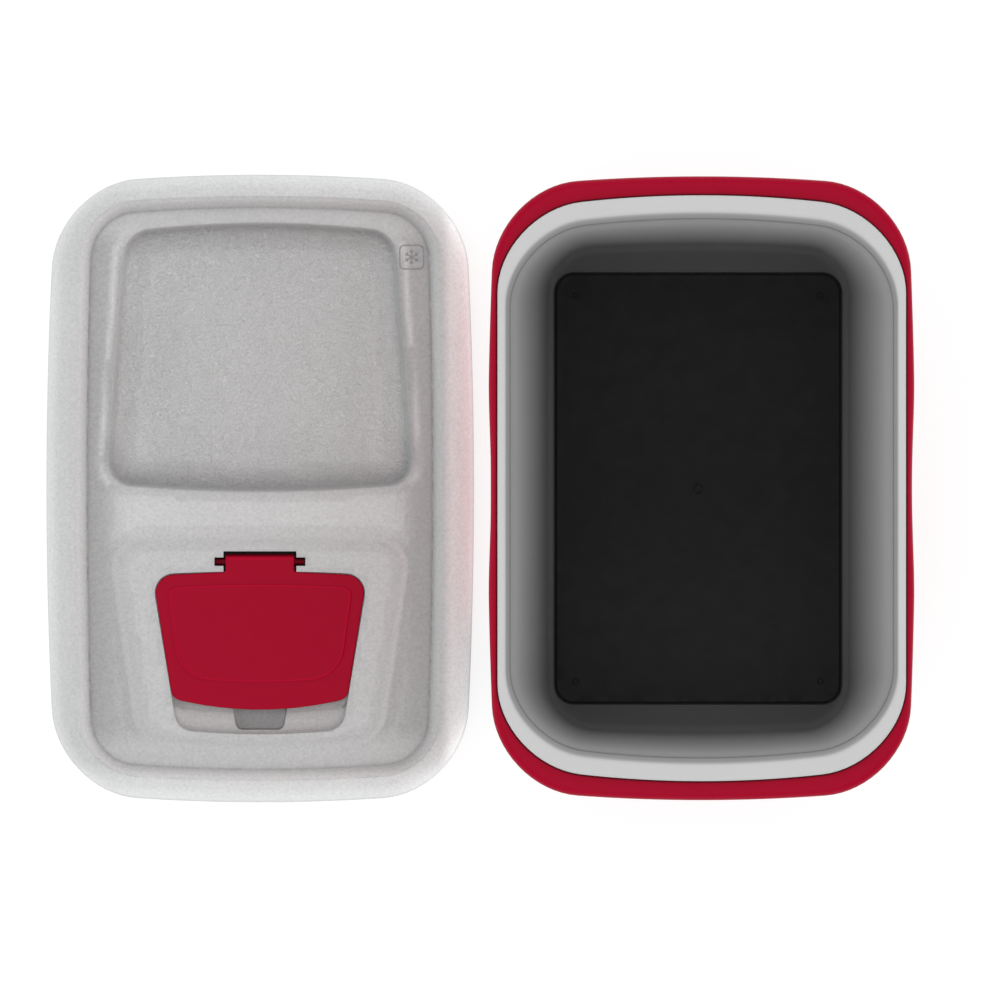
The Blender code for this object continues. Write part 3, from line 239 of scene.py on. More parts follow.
def distance(points, loop):
    """Distance of each point from a closed outline, negative inside it."""
    start, end = loop, np.roll(loop, -1, 0)
    along = end - start
    square = np.maximum((along ** 2).sum(1), 1e-18)
    found = []
    for chunk in np.array_split(points, max(1, len(points) // 4000)):
        gap = chunk[:, None] - start
        share = np.clip((gap * along).sum(2) / square, 0, 1)
        near = np.sqrt(((gap - share[..., None] * along) ** 2).sum(2)).min(1)
        above = (start[:, 1] > chunk[:, None, 1]) != (end[:, 1] > chunk[:, None, 1])
        rise = np.where(along[:, 1] == 0, 1e-18, along[:, 1])
        cross = start[:, 0] + (chunk[:, None, 1] - start[:, 1]) * along[:, 0] / rise
        inside = (above & (chunk[:, None, 0] < cross)).sum(1) % 2 == 1
        found.append(np.where(inside, -near, near))
    return np.concatenate(found)


def ease(share):
    share = np.clip(share, 0, 1)
    return share * share * (3 - 2 * share)


# ---- Meshes ---------------------------------------------------------------------------------------------
class Skin:
    """Collects the points and faces of one piece, with a painted shade and a grain value at each point; the
    painted shade is a factor on the colour that stands in for light and shadow.
    """

    def __init__(self):
        self.points, self.faces, self.values, self.count = [], [], [], 0

    def add(self, points, faces, shade=1.0, grain=0.0):
        points = np.asarray(points, float)
        self.points.append(points)
        self.faces += [[index + self.count for index in face] for face in faces]
        self.values.append(np.column_stack([np.broadcast_to(value, len(points)) for value in (shade,
                                                                                              grain)]))
        self.count += len(points)

    def loft(self, rings, loop=False, shade=1.0, grain=0.0):
        size = len(rings[0])
        faces = []
        for row in range(len(rings) if loop else len(rings) - 1):
            low, high = row * size, (row + 1) % len(rings) * size
            faces += [(low + i, low + (i + 1) % size, high + (i + 1) % size, high + i) for i in range(size)]
        if np.ndim(shade) == 1 and len(shade) == len(rings):
            shade = np.repeat(shade, size)
        self.add(np.concatenate(rings), faces, shade, grain)

    def cap(self, ring, shade=1.0):
        self.add(ring, [range(len(ring))], shade)

    def solid(self, bm, shade=1.0):
        """Takes in a bmesh and frees it."""
        bm.verts.index_update()
        self.add([v.co for v in bm.verts], [[v.index for v in face.verts] for face in bm.faces], shade)
        bm.free()

    def piece(self, name, body, slot, replaced=(), sharp=42):
        """Makes the object in its slot's material, puts it on its CAD body and hides what it stands for."""
        mesh = bpy.data.meshes.new(name)
        mesh.from_pydata(np.concatenate(self.points).tolist(), [], self.faces)
        values = np.concatenate(self.values)
        for column, label in enumerate(("shade", "grain")):
            attribute = mesh.attributes.new(label, "FLOAT", "POINT")
            attribute.data.foreach_set("value", values[:, column].astype(np.float32))
        bm = bmesh.new()
        bm.from_mesh(mesh)
        bmesh.ops.remove_doubles(bm, verts=bm.verts, dist=2e-6)
        bmesh.ops.recalc_face_normals(bm, faces=bm.faces)
        bm.to_mesh(mesh)
        bm.free()
        mesh.shade_smooth()
        mesh.set_sharp_from_angle(angle=math.radians(sharp))
        obj = bpy.data.objects.new(name, mesh)
        bpy.context.scene.collection.objects.link(obj)
        obj.data.materials.append(MATERIALS[slot])
        weighted = obj.modifiers.new("normals", "WEIGHTED_NORMAL")
        weighted.keep_sharp = True
        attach(obj, body)
        if replaced:
            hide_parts(*replaced)
        return obj


def sheet(loops, keep, loose=()):
    """Triangles over flat outlines, closed or open, and loose points. keep says which centres stay."""
    points, edges = [], []
    for loop, closed in loops:
        first = len(points)
        points += [Vector(point) / MM for point in loop]
        edges += [(first + i, first + i + 1) for i in range(len(loop) - 1)]
        if closed:
            edges.append((len(points) - 1, first))
    points += [Vector(point) / MM for point in loose]
    placed, _, faces, *_ = delaunay_2d_cdt(points, edges, [], 0, 1e-5, False)
    placed = np.array([tuple(point) for point in placed]) * MM
    faces = np.array(faces)
    faces = faces[keep(placed[faces].mean(1))]
    used, index = np.unique(faces, return_inverse=True)
    return placed[used], index.reshape(faces.shape)


def grid(low, high, step):
    x, y = np.meshgrid(np.arange(low[0], high[0], step), np.arange(low[1], high[1], step))
    return np.column_stack([x.ravel(), y.ravel()])


def turned(skin, profile, centre, segments=64, groove=None, shade=1.0):
    """A solid turned about X. The profile is a closed loop of (x, radius), or open from axis to axis."""
    angle = 2 * math.pi * np.arange(segments) / segments
    rings = []
    for x, radius in profile:
        reach = np.full(segments, max(radius, 1e-5))
        if groove:
            reach = reach - groove(angle, x, radius)
        rings.append(np.column_stack([np.full(segments, centre[0] + x), centre[1] + reach * np.cos(angle),
                                      centre[2] + reach * np.sin(angle)]))
    skin.loft(rings, loop=profile[0][1] > 0, shade=shade)
    return skin


def slab(profile, x_low, x_high, bevel, segments=3):
    """A bmesh prism along X over a (y, z) profile, with rounded edges."""
    bm = bmesh.new()
    rows = [[bm.verts.new((x, y, z)) for y, z in profile] for x in (x_low, x_high)]
    for index in range(len(profile)):
        after = (index + 1) % len(profile)
        bm.faces.new((rows[0][index], rows[0][after], rows[1][after], rows[1][index]))
    bm.faces.new(list(reversed(rows[0])))
    bm.faces.new(rows[1])
    ends = [edge for edge in bm.edges if abs(edge.verts[0].co.x - edge.verts[1].co.x) < 1e-9]
    sides = [edge for edge in bm.edges if edge not in ends and edge.calc_face_angle(0) > 0.5]
    bmesh.ops.bevel(bm, geom=ends + sides, offset=bevel, segments=segments, affect="EDGES", profile=0.5,
                    clamp_overlap=True)
    return bm


# ---- Materials ------------------------------------------------------------------------------------------
class Nodes:
    """A small helper that adds and links shader nodes."""

    def __init__(self, name):
        self.material = bpy.data.materials.new(name)
        self.material.use_nodes = True
        self.tree = self.material.node_tree
        self.shader = self.tree.nodes["Principled BSDF"]
        self.place = self.add("ShaderNodeTexCoord").outputs["Object"]

    def add(self, kind, links=(), **settings):
        node = self.tree.nodes.new(kind)
        for key, value in settings.items():
            setattr(node, key, value)
        for key, value in dict(links).items():
            if isinstance(value, bpy.types.NodeSocket):
                self.tree.links.new(value, node.inputs[key])
            else:
                node.inputs[key].default_value = value
        return node

    def noise(self, scale, detail=2.0, roughness=0.5):
        links = {"Vector": self.place, "Scale": scale, "Detail": detail, "Roughness": roughness}
        return self.add("ShaderNodeTexNoise", links).outputs["Fac"]

    def cells(self, scale):
        links = {"Vector": self.place, "Scale": scale}
        return self.add("ShaderNodeTexVoronoi", links).outputs["Distance"]

    def math(self, operation, first, second=0.0, clamp=False):
        return self.add("ShaderNodeMath", {0: first, 1: second}, operation=operation,
                        use_clamp=clamp).outputs[0]

    def spread(self, value, low, high):
        """Maps 0..1 to low..high."""
        return self.add("ShaderNodeMapRange", {"Value": value, "To Min": low,
                                               "To Max": high}).outputs["Result"]

    def value(self, name):
        return self.add("ShaderNodeAttribute", attribute_name=name).outputs["Fac"]

    def blend(self, share, first, second):
        return self.add("ShaderNodeMix", {"Factor": share, "A": first, "B": second},
                        data_type="FLOAT").outputs["Result"]

    def paint(self, colour, amount):
        """Base colour times a factor."""
        mix = self.add("ShaderNodeVectorMath", {0: colour}, operation="SCALE")
        self.tree.links.new(amount, mix.inputs["Scale"])
        self.tree.links.new(mix.outputs[0], self.shader.inputs["Base Color"])

    def bump(self, height, depth):
        node = self.add("ShaderNodeBump", {"Height": height, "Distance": depth, "Strength": 1.0})
        self.tree.links.new(node.outputs["Normal"], self.shader.inputs["Normal"])

    def rough(self, value):
        self.tree.links.new(value, self.shader.inputs["Roughness"])

    def set(self, values):
        for name, value in values.items():
            self.shader.inputs[name].default_value = value


def plastic(name, colour, roughness, grain, depth, mottle, shaded=False, leather=False,
            specular=0.5):
    """Moulded plastic: fine spark-eroded grain, faint mottling and uneven gloss; if shaded, its colour also
    carries the light and shade painted on the mesh.
    """
    nodes = Nodes(name)
    nodes.set({"Specular IOR Level": specular})
    fine = nodes.noise(grain, 3.0, 0.6)
    broad = nodes.noise(9.0, 3.0, 0.55)
    amount = nodes.spread(broad, 1 - mottle, 1 + mottle)
    speck = nodes.spread(fine, 1 - mottle * 0.8, 1 + mottle * 0.8)
    amount = nodes.math("MULTIPLY", amount, speck)
    height = fine
    if leather:
        wrinkles = nodes.add("ShaderNodeTexNoise", {"Vector": nodes.place, "Scale": 330.0, "Detail": 1.5,
                                                    "Distortion": 1.8}).outputs["Fac"]
        creases = nodes.math("MULTIPLY", nodes.math("ABSOLUTE", nodes.math("SUBTRACT", wrinkles, 0.5)),
                             6.0, True)
        stipple = nodes.math("ADD", nodes.math("MULTIPLY", fine, 0.5), nodes.noise(380.0, 1.0))
        pebbles = nodes.math("ADD", nodes.math("MULTIPLY", fine, 0.3), creases)
        height = nodes.blend(nodes.value("grain"), stipple, pebbles)
        tone = nodes.blend(nodes.value("grain"), nodes.spread(stipple, 0.83, 1.135),
                           nodes.spread(creases, 0.95, 1.02))
        amount = nodes.math("MULTIPLY", amount, tone)
    # Painted light and shade: the mesh's shade value darkens or lightens the colour.
    if shaded:
        amount = nodes.math("MULTIPLY", amount, nodes.value("shade"))
    nodes.paint(colour, amount)
    nodes.rough(nodes.spread(nodes.noise(60.0, 2.0), roughness - 0.07, roughness + 0.07))
    nodes.bump(height, depth)
    return nodes.material


def rubber(name, colour, roughness):
    nodes = Nodes(name)
    nodes.set({"Specular IOR Level": 0.3})
    fine = nodes.noise(1100.0, 3.0, 0.6)
    dust = nodes.noise(28.0, 4.0, 0.6)
    nodes.paint(colour, nodes.spread(dust, 0.75, 1.45))
    nodes.rough(nodes.spread(dust, roughness - 0.08, min(roughness + 0.08, 1.0)))
    nodes.bump(fine, 0.00015)
    return nodes.material


def steel(name):
    """Zinc-plated steel, drawn lengthwise and slightly dull in patches."""
    nodes = Nodes(name)
    nodes.set({"Metallic": 1.0})
    stretch = nodes.add("ShaderNodeMapping", {"Vector": nodes.place, "Scale": (12.0, 900.0, 900.0)})
    lines = nodes.add("ShaderNodeTexNoise", {"Vector": stretch.outputs[0], "Scale": 1.0,
                                             "Detail": 3.0}).outputs["Fac"]
    patches = nodes.noise(90.0, 3.0)
    nodes.paint((0.60, 0.60, 0.58), nodes.spread(patches, 0.82, 1.08))
    nodes.rough(nodes.spread(patches, 0.22, 0.42))
    nodes.bump(lines, 0.00005)
    return nodes.material


def foam(name):
    nodes = Nodes(name)
    cells = nodes.cells(500.0)
    nodes.paint((0.80, 0.74, 0.55), nodes.spread(cells, 0.8, 1.05))
    nodes.set({"Roughness": 0.95})
    nodes.bump(cells, 0.0004)
    return nodes.material


RED = (0.360, 0.0010, 0.0205)
BLACK = (0.030, 0.030, 0.031)
# Colour, roughness, grain scale, grain depth and mottling, then shaded (takes the painted shade), leather
# and specular if not plain.
PLASTICS = {
    "lid_grey": ((0.432, 0.438, 0.438), 0.66, 620.0, 0.00038, 0.05, True, True, 0.2),
    "lid_liner_grey": ((0.58, 0.58, 0.58), 0.45, 500.0, 0.00006, 0.02, True),
    "liner_grey": ((0.60, 0.60, 0.60), 0.42, 900.0, 0.00004, 0.02, True, False, 0.12),
    "shell_red": (RED, 0.40, 800.0, 0.00006, 0.03, True, False, 0.06),
    "hatch_red": (RED, 0.42, 900.0, 0.00006, 0.02, True, False, 0.06),
    "wheel_black": (BLACK, 0.45, 700.0, 0.00010, 0.08),
    "hub_cap_grey": ((0.56, 0.56, 0.56), 0.42, 700.0, 0.00006, 0.03),
    "bracket_black": (BLACK, 0.50, 600.0, 0.00012, 0.08),
    "handle_black": ((0.026, 0.026, 0.027), 0.42, 650.0, 0.00012, 0.08),
    "plug_black": ((0.022, 0.022, 0.022), 0.55, 650.0, 0.00010, 0.08),
}
MATERIALS = {name: plastic(name, *values) for name, values in PLASTICS.items()}
for name, colour, roughness in (("tyre_rubber", (0.016, 0.016, 0.016), 0.85),
                                ("foot_rubber", (0.020, 0.020, 0.020), 0.85),
                                ("grip_rubber", (0.019, 0.019, 0.020), 0.75)):
    MATERIALS[name] = rubber(name, colour, roughness)
MATERIALS["zinc_steel"] = steel("zinc_steel")
MATERIALS["body_foam"] = foam("body_foam")
MATERIALS["lid_foam"] = foam("lid_foam")


# ---- Lid ------------------------------------------------------------------------------------------------
def lid_ring(inset):
    half = (LID_HALF[0] - inset, LID_HALF[1] - inset)
    return bowed(half, max(LID_RADIUS - inset, 0.02), LID_BOW)


def field_ring(growth):
    half = (FIELD_HALF[0] + growth, FIELD_HALF[1] + growth)
    return bowed(half, FIELD_RADIUS + growth, (0.030, 0.030))


def rim_ring(offset):
    return bowed((RIM_HALF[0] + offset, RIM_HALF[1] + offset), RIM_RADIUS + offset, RIM_BOW)


def mouth_ring(offset):
    return bowed((MOUTH_HALF[0] + offset, MOUTH_HALF[1] + offset), MOUTH_RADIUS + offset, RIM_BOW)


FIELD_EDGE = -0.0035
TRAY_STEPS = np.array([-16, -12.5, -9.5, -7, -5, -3.6, -2.4, -1.4, -0.6, 0, 0.5, 1.0, 1.6, 2.4]) * MM
TRAY_DROP = np.array([1, 0.985, 0.945, 0.885, 0.80, 0.70, 0.565, 0.42, 0.265, 0.135, 0.06, 0.015, -0.006,
                      0])
PLATEAU_STEPS = np.array([-7, -5.5, -4, -2.5, -1, 0.5, 2, 3.5, 5]) * MM
PLATEAU_RISE = np.array([1, 0.985, 0.93, 0.82, 0.64, 0.40, 0.17, 0.04, 0])
EDGE_ROUND = 0.0006
BARREL_SLOT = ((-0.0316, -0.0800), (0.0316, -0.0546))
TRUNNION_SLOT = ((-0.0394, HINGE_Y - TRUNNION_SPACE), (0.0394, HINGE_Y + TRUNNION_SPACE))
LINE = 0.04 * MM
# Painted shade: the emblem's colour factor, darker to stand for the shadow along its raised lines.
EMBLEM_SHADE = 0.50


def lid_height(points):
    """Height of the lid's top inside its border, with its painted shade and highlights and its share of
    leather grain.
    """
    from_field = -distance(points, field_ring(FIELD_EDGE))
    z = FIELD_Z - 0.0007 * (1 - ease(from_field / 0.018))
    tray = distance(points, outline(TRAY))
    z = z - TRAY_DEPTH * np.interp(tray, TRAY_STEPS, TRAY_DROP)
    plateau = distance(points, outline(PLATEAU))
    z = z + (PLATEAU_Z - FIELD_Z) * np.interp(plateau, PLATEAU_STEPS, PLATEAU_RISE)

    pocket = distance(points, outline(POCKET))
    barrel = distance(points, box_outline(*BARREL_SLOT))
    trunnion = distance(points, box_outline(*TRUNNION_SLOT))
    notch = distance(points, rounded(NOTCH))
    edge = np.minimum(np.minimum(pocket, barrel), trunnion)
    near = np.clip(EDGE_ROUND - edge, 0, EDGE_ROUND)
    z = np.where(edge > 0, z - (EDGE_ROUND - np.sqrt(EDGE_ROUND ** 2 - near ** 2)), z)

    above_floor = np.maximum(distance(points, outline(POCKET_FLOOR)), 0)
    share = np.clip(above_floor / np.maximum(above_floor - pocket, 1e-9), 0, 1)
    floor = POCKET_Z + (PLATEAU_Z - 0.0012 - POCKET_Z) * share ** 2.2
    z = np.where(pocket < 0, floor, z)
    z = np.where(barrel < 0, np.minimum(z, HINGE_Z - BARREL_RADIUS - 0.0008), z)
    z = np.where(trunnion < 0, np.minimum(z, HINGE_Z - TRUNNION_SPACE), z)
    into_notch = ease(-notch / 0.0012)
    z = np.where(notch < 0, z + (NOTCH_Z - z) * into_notch, z)

    # Painted light and shade: a painted shadow in the crease along the field's edge and on the field's side
    # strips, a painted highlight along the tray's top lip, painted shade and light down the tray's walls,
    # and slight painted shade next to the plateau.
    x, y = np.abs(points[:, 0]), points[:, 1]
    outside = np.minimum(tray, plateau)
    crease = np.interp(from_field, np.array([0, 2, 5, 12, 20, 30]) * MM,
                       [0.60, 0.84, 0.90, 0.93, 0.95, 0.95])
    ends = ease((np.abs(y) - 0.205) / 0.025)
    bridge = (1 - ease((np.abs(y + 0.024) - 0.014) / 0.022)) * ease((0.140 - x) / 0.030)
    lip = np.exp(-((tray - 0.0068) / 0.0028) ** 2) * (y > 0)
    beyond_crease = ease((outside - 0.001) / 0.005) * (1 - ends) * (1 - bridge)
    shade = crease * (1 - 0.24 * beyond_crease * (1 - 1.3 * lip))
    wall = np.interp(tray, np.array([-70, -30, -20, -10, -6, -3, 0, 1.5, 4]) * MM,
                     [1.02, 0.97, 0.93, 0.88, 0.85, 0.84, 0.92, 1.0, 1.0])
    side_wall = np.interp(tray, np.array([-70, -30, -20, -10, -7, -3.4, -1, 0, 1.5, 3, 5, 7]) * MM,
                          [1.02, 1.04, 1.05, 1.06, 1.03, 0.92, 0.82, 0.75, 0.75, 0.76, 0.88, 1.03])
    at_top = ease((y - 0.190) / 0.030)
    wall = wall + (side_wall - wall) * ease((x - 0.080) / 0.032) * (1 - at_top) * ease((y - 0.004) / 0.030)
    wall = wall * (1 - 0.17 * np.exp(-((tray + 0.003) / 0.0045) ** 2) * at_top)
    low_wall = np.exp(-((tray + 0.005) / 0.008) ** 2) * ease((0.060 - y) / 0.050)
    shade = shade * wall * (1 - 0.22 * low_wall) * (1 - 0.08 * ease((0.002 - plateau) / 0.006))
    # Painted shade in the hatch pocket, lighter in its middle, and in the finger notch.
    in_pocket = np.interp(share, [0, 0.1, 0.45, 0.75, 0.93, 1], [0.62, 0.82, 0.93, 0.82, 0.60, 0.62])
    shade = np.where(pocket < 0, in_pocket, shade)
    shade = np.where(notch < -LINE / 2, 0.57 - 0.08 * ease(-notch / 0.004), shade)
    # The hinge slots are painted near-black for the shadow inside them.
    shade = np.where((barrel < 0) | (trunnion < 0), 0.02, shade)
    grain = ease((-tray + 0.001) / 0.004)
    return z, shade, grain


def between(first, second, z):
    """Points and faces of a level surface of the lid, between two outlines, one inside the other."""
    def keep(centres):
        return (distance(centres, first) < 0) != (distance(centres, second) < 0)

    flat, faces = sheet([(first, True), (second, True)], keep)
    return on_lid(flat, z), faces


def make_lid_shell():
    """Grey outer lid: border, field, tray, plateau, hatch pocket, slots and neck, closed underneath."""
    skin = Skin()
    border = [(lid_ring(inset), z) for inset, z in
              ((0.0012, 0.0), (0.0002, 0.0010), (0.0, 0.0100), (0.0, 0.0200), (0.0003, 0.0260),
               (0.0011, 0.0310),
               (0.0023, 0.0352), (0.0040, 0.0392), (0.0062, 0.0427), (0.0088, 0.0456), (0.0118, 0.0480),
               (0.0152, 0.0499), (0.0190, 0.0512))]
    outer, inner = lid_ring(0.0190), field_ring(0.0062)
    border += [(outer + (inner - outer) * share, z) for share,
               z in ((0.35, 0.0519), (0.70, CREST_Z), (1.0, 0.0516))]
    border += [(field_ring(growth), z) for growth, z in
               ((0.0046, 0.0510), (0.0030, 0.0499), (0.0017, 0.0484), (0.0006, 0.0466), (-0.0004, 0.0450),
                (-0.0014, 0.0439), (-0.0024, 0.0433))]
    edge = field_ring(FIELD_EDGE)
    # Painted light and shade on the border, ring by ring: lighter on its outward slopes, darker down into
    # the crease.
    shades = [1.0, 1.0, 1.0, 1.04, 1.18, 1.34, 1.36, 1.30, 1.25, 1.19, 1.12, 1.09, 1.06, 1.02, 1.0, 0.98,
              1.0, 1.02,
              1.00, 0.98, 0.92, 0.82, 0.72, 0.62]
    rings = [on_lid(ring, z) for ring, z in border] + [on_lid(edge, lid_height(edge)[0])]
    skin.loft(rings, shade=np.array(shades))
    # Painted light: the upper border is lightened beside the body, where the body's shadow falls on it, and
    # at the near end.
    upper = ease((skin.points[-1][:, 2] - 0.024) / 0.010)
    beside_body = ease((skin.points[-1][:, 0] - LID_X - 0.156) / 0.012) * upper
    near_side = ease((-skin.points[-1][:, 1] - 0.236) / 0.016)
    skin.values[-1][:, 0] *= (1 + 0.34 * beside_body) * (1 + 0.13 * near_side * upper)

    throat = outline(THROAT)
    loops = [(edge, True)] + divided([throat], 0.003)
    loops += divided([field_ring(FIELD_EDGE - depth * MM) for depth in (0.8, 1.6, 2.6, 5, 9, 14, 20)],
                     0.008)
    loops += divided([outline(TRAY, step) for step in TRAY_STEPS], 0.005)
    loops += divided([outline(PLATEAU, step) for step in PLATEAU_STEPS], 0.006)
    for growth in (-LINE, LINE, EDGE_ROUND / 4, EDGE_ROUND / 2, EDGE_ROUND):
        edges = [outline(POCKET, growth)]
        edges += [box_outline(*slot, growth=growth) for slot in (BARREL_SLOT, TRUNNION_SLOT)]
        loops += divided(edges, 0.003)
    loops += divided([outline(POCKET_FLOOR, -LINE)], 0.003)
    notch_steps = (LINE, -LINE, -0.3 * MM, -0.6 * MM, -0.9 * MM, -1.2 * MM)
    loops += divided([rounded(grown(NOTCH, step)) for step in notch_steps], 0.002)

    def keep(centres):
        return (distance(centres, edge) < 0) & (distance(centres, throat) > 0)

    loose = grid((-0.15, -0.245), (0.15, 0.245), 0.0061)
    clear = np.abs(distance(loose, outline(TRAY)) + 0.006) > 0.013
    clear &= (distance(loose, edge) < -0.004) & (np.abs(distance(loose, outline(PLATEAU))) > 0.009)
    loose = np.concatenate([loose[clear], grid((-0.072, -0.214), (0.072, -0.190), 0.0021)])
    flat, faces = sheet(loops, keep, loose)
    z, shade, grain = lid_height(flat)
    skin.add(on_lid(flat, z), faces, shade, grain)

    ceiling = 0.0295
    neck_z = 0.0004
    ceiling_ring = lid_ring(WALL + 0.001)
    skin.loft([on_lid(ring, z) for ring, z in ((lid_ring(0.0012), 0.0), (lid_ring(0.0012 + WALL), 0.0),
                                               (lid_ring(WALL), 0.0200), (ceiling_ring, ceiling))])
    neck_in = split(throat, 0.003)
    neck_out = outline(THROAT, WALL - 0.0002)
    top_z = lid_height(neck_in)[0]
    # Painted shade on the throat's wall.
    skin.loft([on_lid(neck_in, top_z), on_lid(neck_in, neck_z)], shade=0.85)
    skin.add(*between(neck_in, neck_out, neck_z))
    skin.add(*between(ceiling_ring, neck_out, ceiling))
    skin.loft([on_lid(neck_out, neck_z), on_lid(neck_out, ceiling)])
    return skin.piece("lid_top", "lid", "lid_grey", ["lid_shell"], 38)


def make_lid_liner():
    """Underside of the lid: flange, groove for the rim, and the plug that fits the mouth."""
    skin = Skin()
    profile = [(mouth_ring(-0.0120), PLUG_Z), (mouth_ring(-0.0060), PLUG_Z),
               (mouth_ring(-0.0046), PLUG_Z + 0.0004),
               (mouth_ring(-0.0038), PLUG_Z + 0.0014), (mouth_ring(-0.0030), GROOVE_TOP_Z - 0.0010),
               (mouth_ring(-0.0024), GROOVE_TOP_Z - 0.0002), (mouth_ring(-0.0014), GROOVE_TOP_Z),
               (rim_ring(0.0004), GROOVE_TOP_Z), (rim_ring(0.0012), GROOVE_TOP_Z - 0.0003),
               (rim_ring(0.0014), GROOVE_TOP_Z - 0.0012), (rim_ring(0.0016), 0.0008),
               (rim_ring(0.0020), 0.0001),
               (rim_ring(0.0028), 0.0), (lid_ring(0.0012 + WALL + GAP), 0.0),
               (lid_ring(0.0010 + WALL + GAP), WALL),
               (rim_ring(0.0012 + WALL), WALL), (rim_ring(0.0010 + WALL), GROOVE_TOP_Z + WALL),
               (mouth_ring(-0.0026 - WALL), GROOVE_TOP_Z + WALL),
               (mouth_ring(-0.0036 - WALL), PLUG_Z + WALL)]
    skin.loft([on_lid(ring, z) for ring, z in profile])
    hole = split(outline(THROAT, WALL + GAP), 0.004)
    for ring, z in (profile[0], profile[-1]):
        skin.add(*between(ring, hole, z))
    skin.loft([on_lid(hole, PLUG_Z), on_lid(hole, PLUG_Z + WALL)])
    return skin.piece("lid_underside", "lid", "lid_liner_grey", ["lid_liner"])


def make_emblem():
    """A small raised square with a plain six-armed snowflake, beside the tray."""
    skin = Skin()
    centre = np.array([0.1316, 0.2007])
    half = 0.0108
    corners = [(half, half, 0.0045), (-half, half, 0.0045), (-half, -half, 0.0045), (half, -half, 0.0045)]
    z, height = FIELD_Z - 0.0006, 0.00085
    frame_rings = [(0.0, 0.0), (0.0, height * 0.7), (-0.0002, height), (-0.0009, height),
                   (-0.0011, height * 0.7), (-0.0011, 0.0)]
    skin.loft([on_lid(rounded(grown(corners, growth)) + centre, z + rise) for growth, rise in frame_rings],
              loop=True)
    strokes = []
    for step in range(6):
        angle = math.radians(60 * step + 30)
        along = Vector((math.cos(angle), math.sin(angle)))
        strokes.append((Vector((0, 0)), along * 0.0066))
        for turn in (-1, 1):
            twig = Vector((math.cos(angle + turn * math.radians(48)),
                           math.sin(angle + turn * math.radians(48))))
            strokes.append((along * 0.0038, along * 0.0038 + twig * 0.0022))
    for start, end in strokes:
        along = (end - start).normalized()
        side = Vector((-along.y, along.x)) * 0.00045
        middle = (start + end) / 2
        rows = []
        for rise, width in ((0.0, 1.0), (height * 0.7, 1.0), (height, 0.6)):
            rows.append(np.array([(centre[0] + LID_X + middle.x + (point.x - middle.x) * width,
                                   centre[1] + middle.y + (point.y - middle.y) * width, z + rise)
                                  for point in (start - side, end - side, end + along * 0.0003, end + side,
                                                start + side)]))
        skin.loft(rows)
        skin.cap(rows[-1])
    # Painted shade over the whole emblem.
    for values in skin.values:
        values[:, 0] = EMBLEM_SHADE
    return skin.piece("lid_emblem", "lid", "lid_grey")


# ---- Hatch ----------------------------------------------------------------------------------------------
def make_hatch():
    """Red door with a rolled edge, a raised line round its panel, a hollow back and its hinge barrel."""
    skin = Skin()
    top = PLATEAU_Z - 0.0004
    lip_z, hollow_z, lip = POCKET_Z + GAP, PLATEAU_Z - 0.0026, 0.0026

    def ring(growth, z, back=0.0):
        points = rounded(grown(whole(DOOR), growth))
        rear = (points[:, 1] > -0.0820) & (np.abs(points[:, 0]) > 0.0300)
        points = points - np.column_stack([np.zeros(len(points)), rear * back])
        return on_lid(points, z)

    edge_growth = -0.0013
    rings = [ring(edge_growth, top), ring(-0.0007, top - 0.00012), ring(-0.0003, top - 0.0004),
             ring(-0.0001, top - 0.0008),
             ring(0.0, top - 0.0014), ring(0.0, top - 0.0032, 0.0010), ring(0.0, lip_z + 0.0008, 0.0019),
             ring(-0.0004, lip_z + 0.0002, 0.0018), ring(-0.0009, lip_z, 0.0016),
             ring(-lip + 0.0006, lip_z, 0.0012),
             ring(-lip, lip_z + 0.0006, 0.0010), ring(-lip - 0.0003, hollow_z - 0.0010, 0.0006),
             ring(-lip - 0.0010, hollow_z)]
    skin.loft(rings)
    skin.cap(rings[-1])
    boundary = rounded(grown(whole(DOOR), edge_growth))
    panel = outline(PANEL)
    steps = np.array([-1.4, -0.9, -0.45, 0, 0.45, 0.9, 1.4]) * MM
    rise = np.array([0.20, 0.24, 0.42, 0.55, 0.42, 0.16, 0.0]) * MM
    loops = [(boundary, True)] + divided([outline(PANEL, step) for step in steps], 0.004)
    flat, faces = sheet(loops, lambda centres: distance(centres, boundary) < 0,
                        grid((-0.088, -0.190), (0.088, -0.075), 0.0071))
    line = distance(flat, panel)
    # Painted highlight along the panel's raised line, with a thin painted shadow just outside it.
    light = 1 + 0.30 * np.exp(-((line + 0.0003) / 0.0006) ** 2)
    light -= 0.10 * np.exp(-((line - 0.0009) / 0.0006) ** 2)
    skin.add(on_lid(flat, top + np.interp(line, steps, rise)), faces, light)

    radius = BARREL_RADIUS - 0.0004
    half = BARREL_HALF_LENGTH
    pin, reach = TRUNNION_RADIUS, 0.0388
    profile = [(-reach, 0.0), (-reach, pin - 0.0005), (-reach + 0.0005, pin), (-half - 0.0002, pin),
               (-half, pin),
               (-half, radius - 0.0006), (-half + 0.0006, radius), (half - 0.0006, radius),
               (half, radius - 0.0006),
               (half, pin), (half + 0.0002, pin), (reach - 0.0005, pin), (reach, pin - 0.0005),
               (reach, 0.0)]
    turned(skin, profile, (LID_X, HINGE_Y, HINGE_Z), 96)
    barrel = skin.points[-1]
    # Painted highlight where the barrel rolls over at the rear; the trunnion pins are painted dark for the
    # shade in their slots.
    roll = np.interp(barrel[:, 1] - HINGE_Y, [0.001, 0.0025, 0.0040, 0.0055], [1.0, 1.35, 1.1, 0.5])
    pins = np.interp(np.abs(barrel[:, 1] - HINGE_Y), [0.0019, 0.0026], [0.40, 0.02])
    skin.values[-1][:, 0] = np.where(np.abs(barrel[:, 0] - LID_X) > half + 0.0001, pins, roll)
    return skin.piece("hatch_lid", "hatch", "hatch_red", ["hatch_door"])


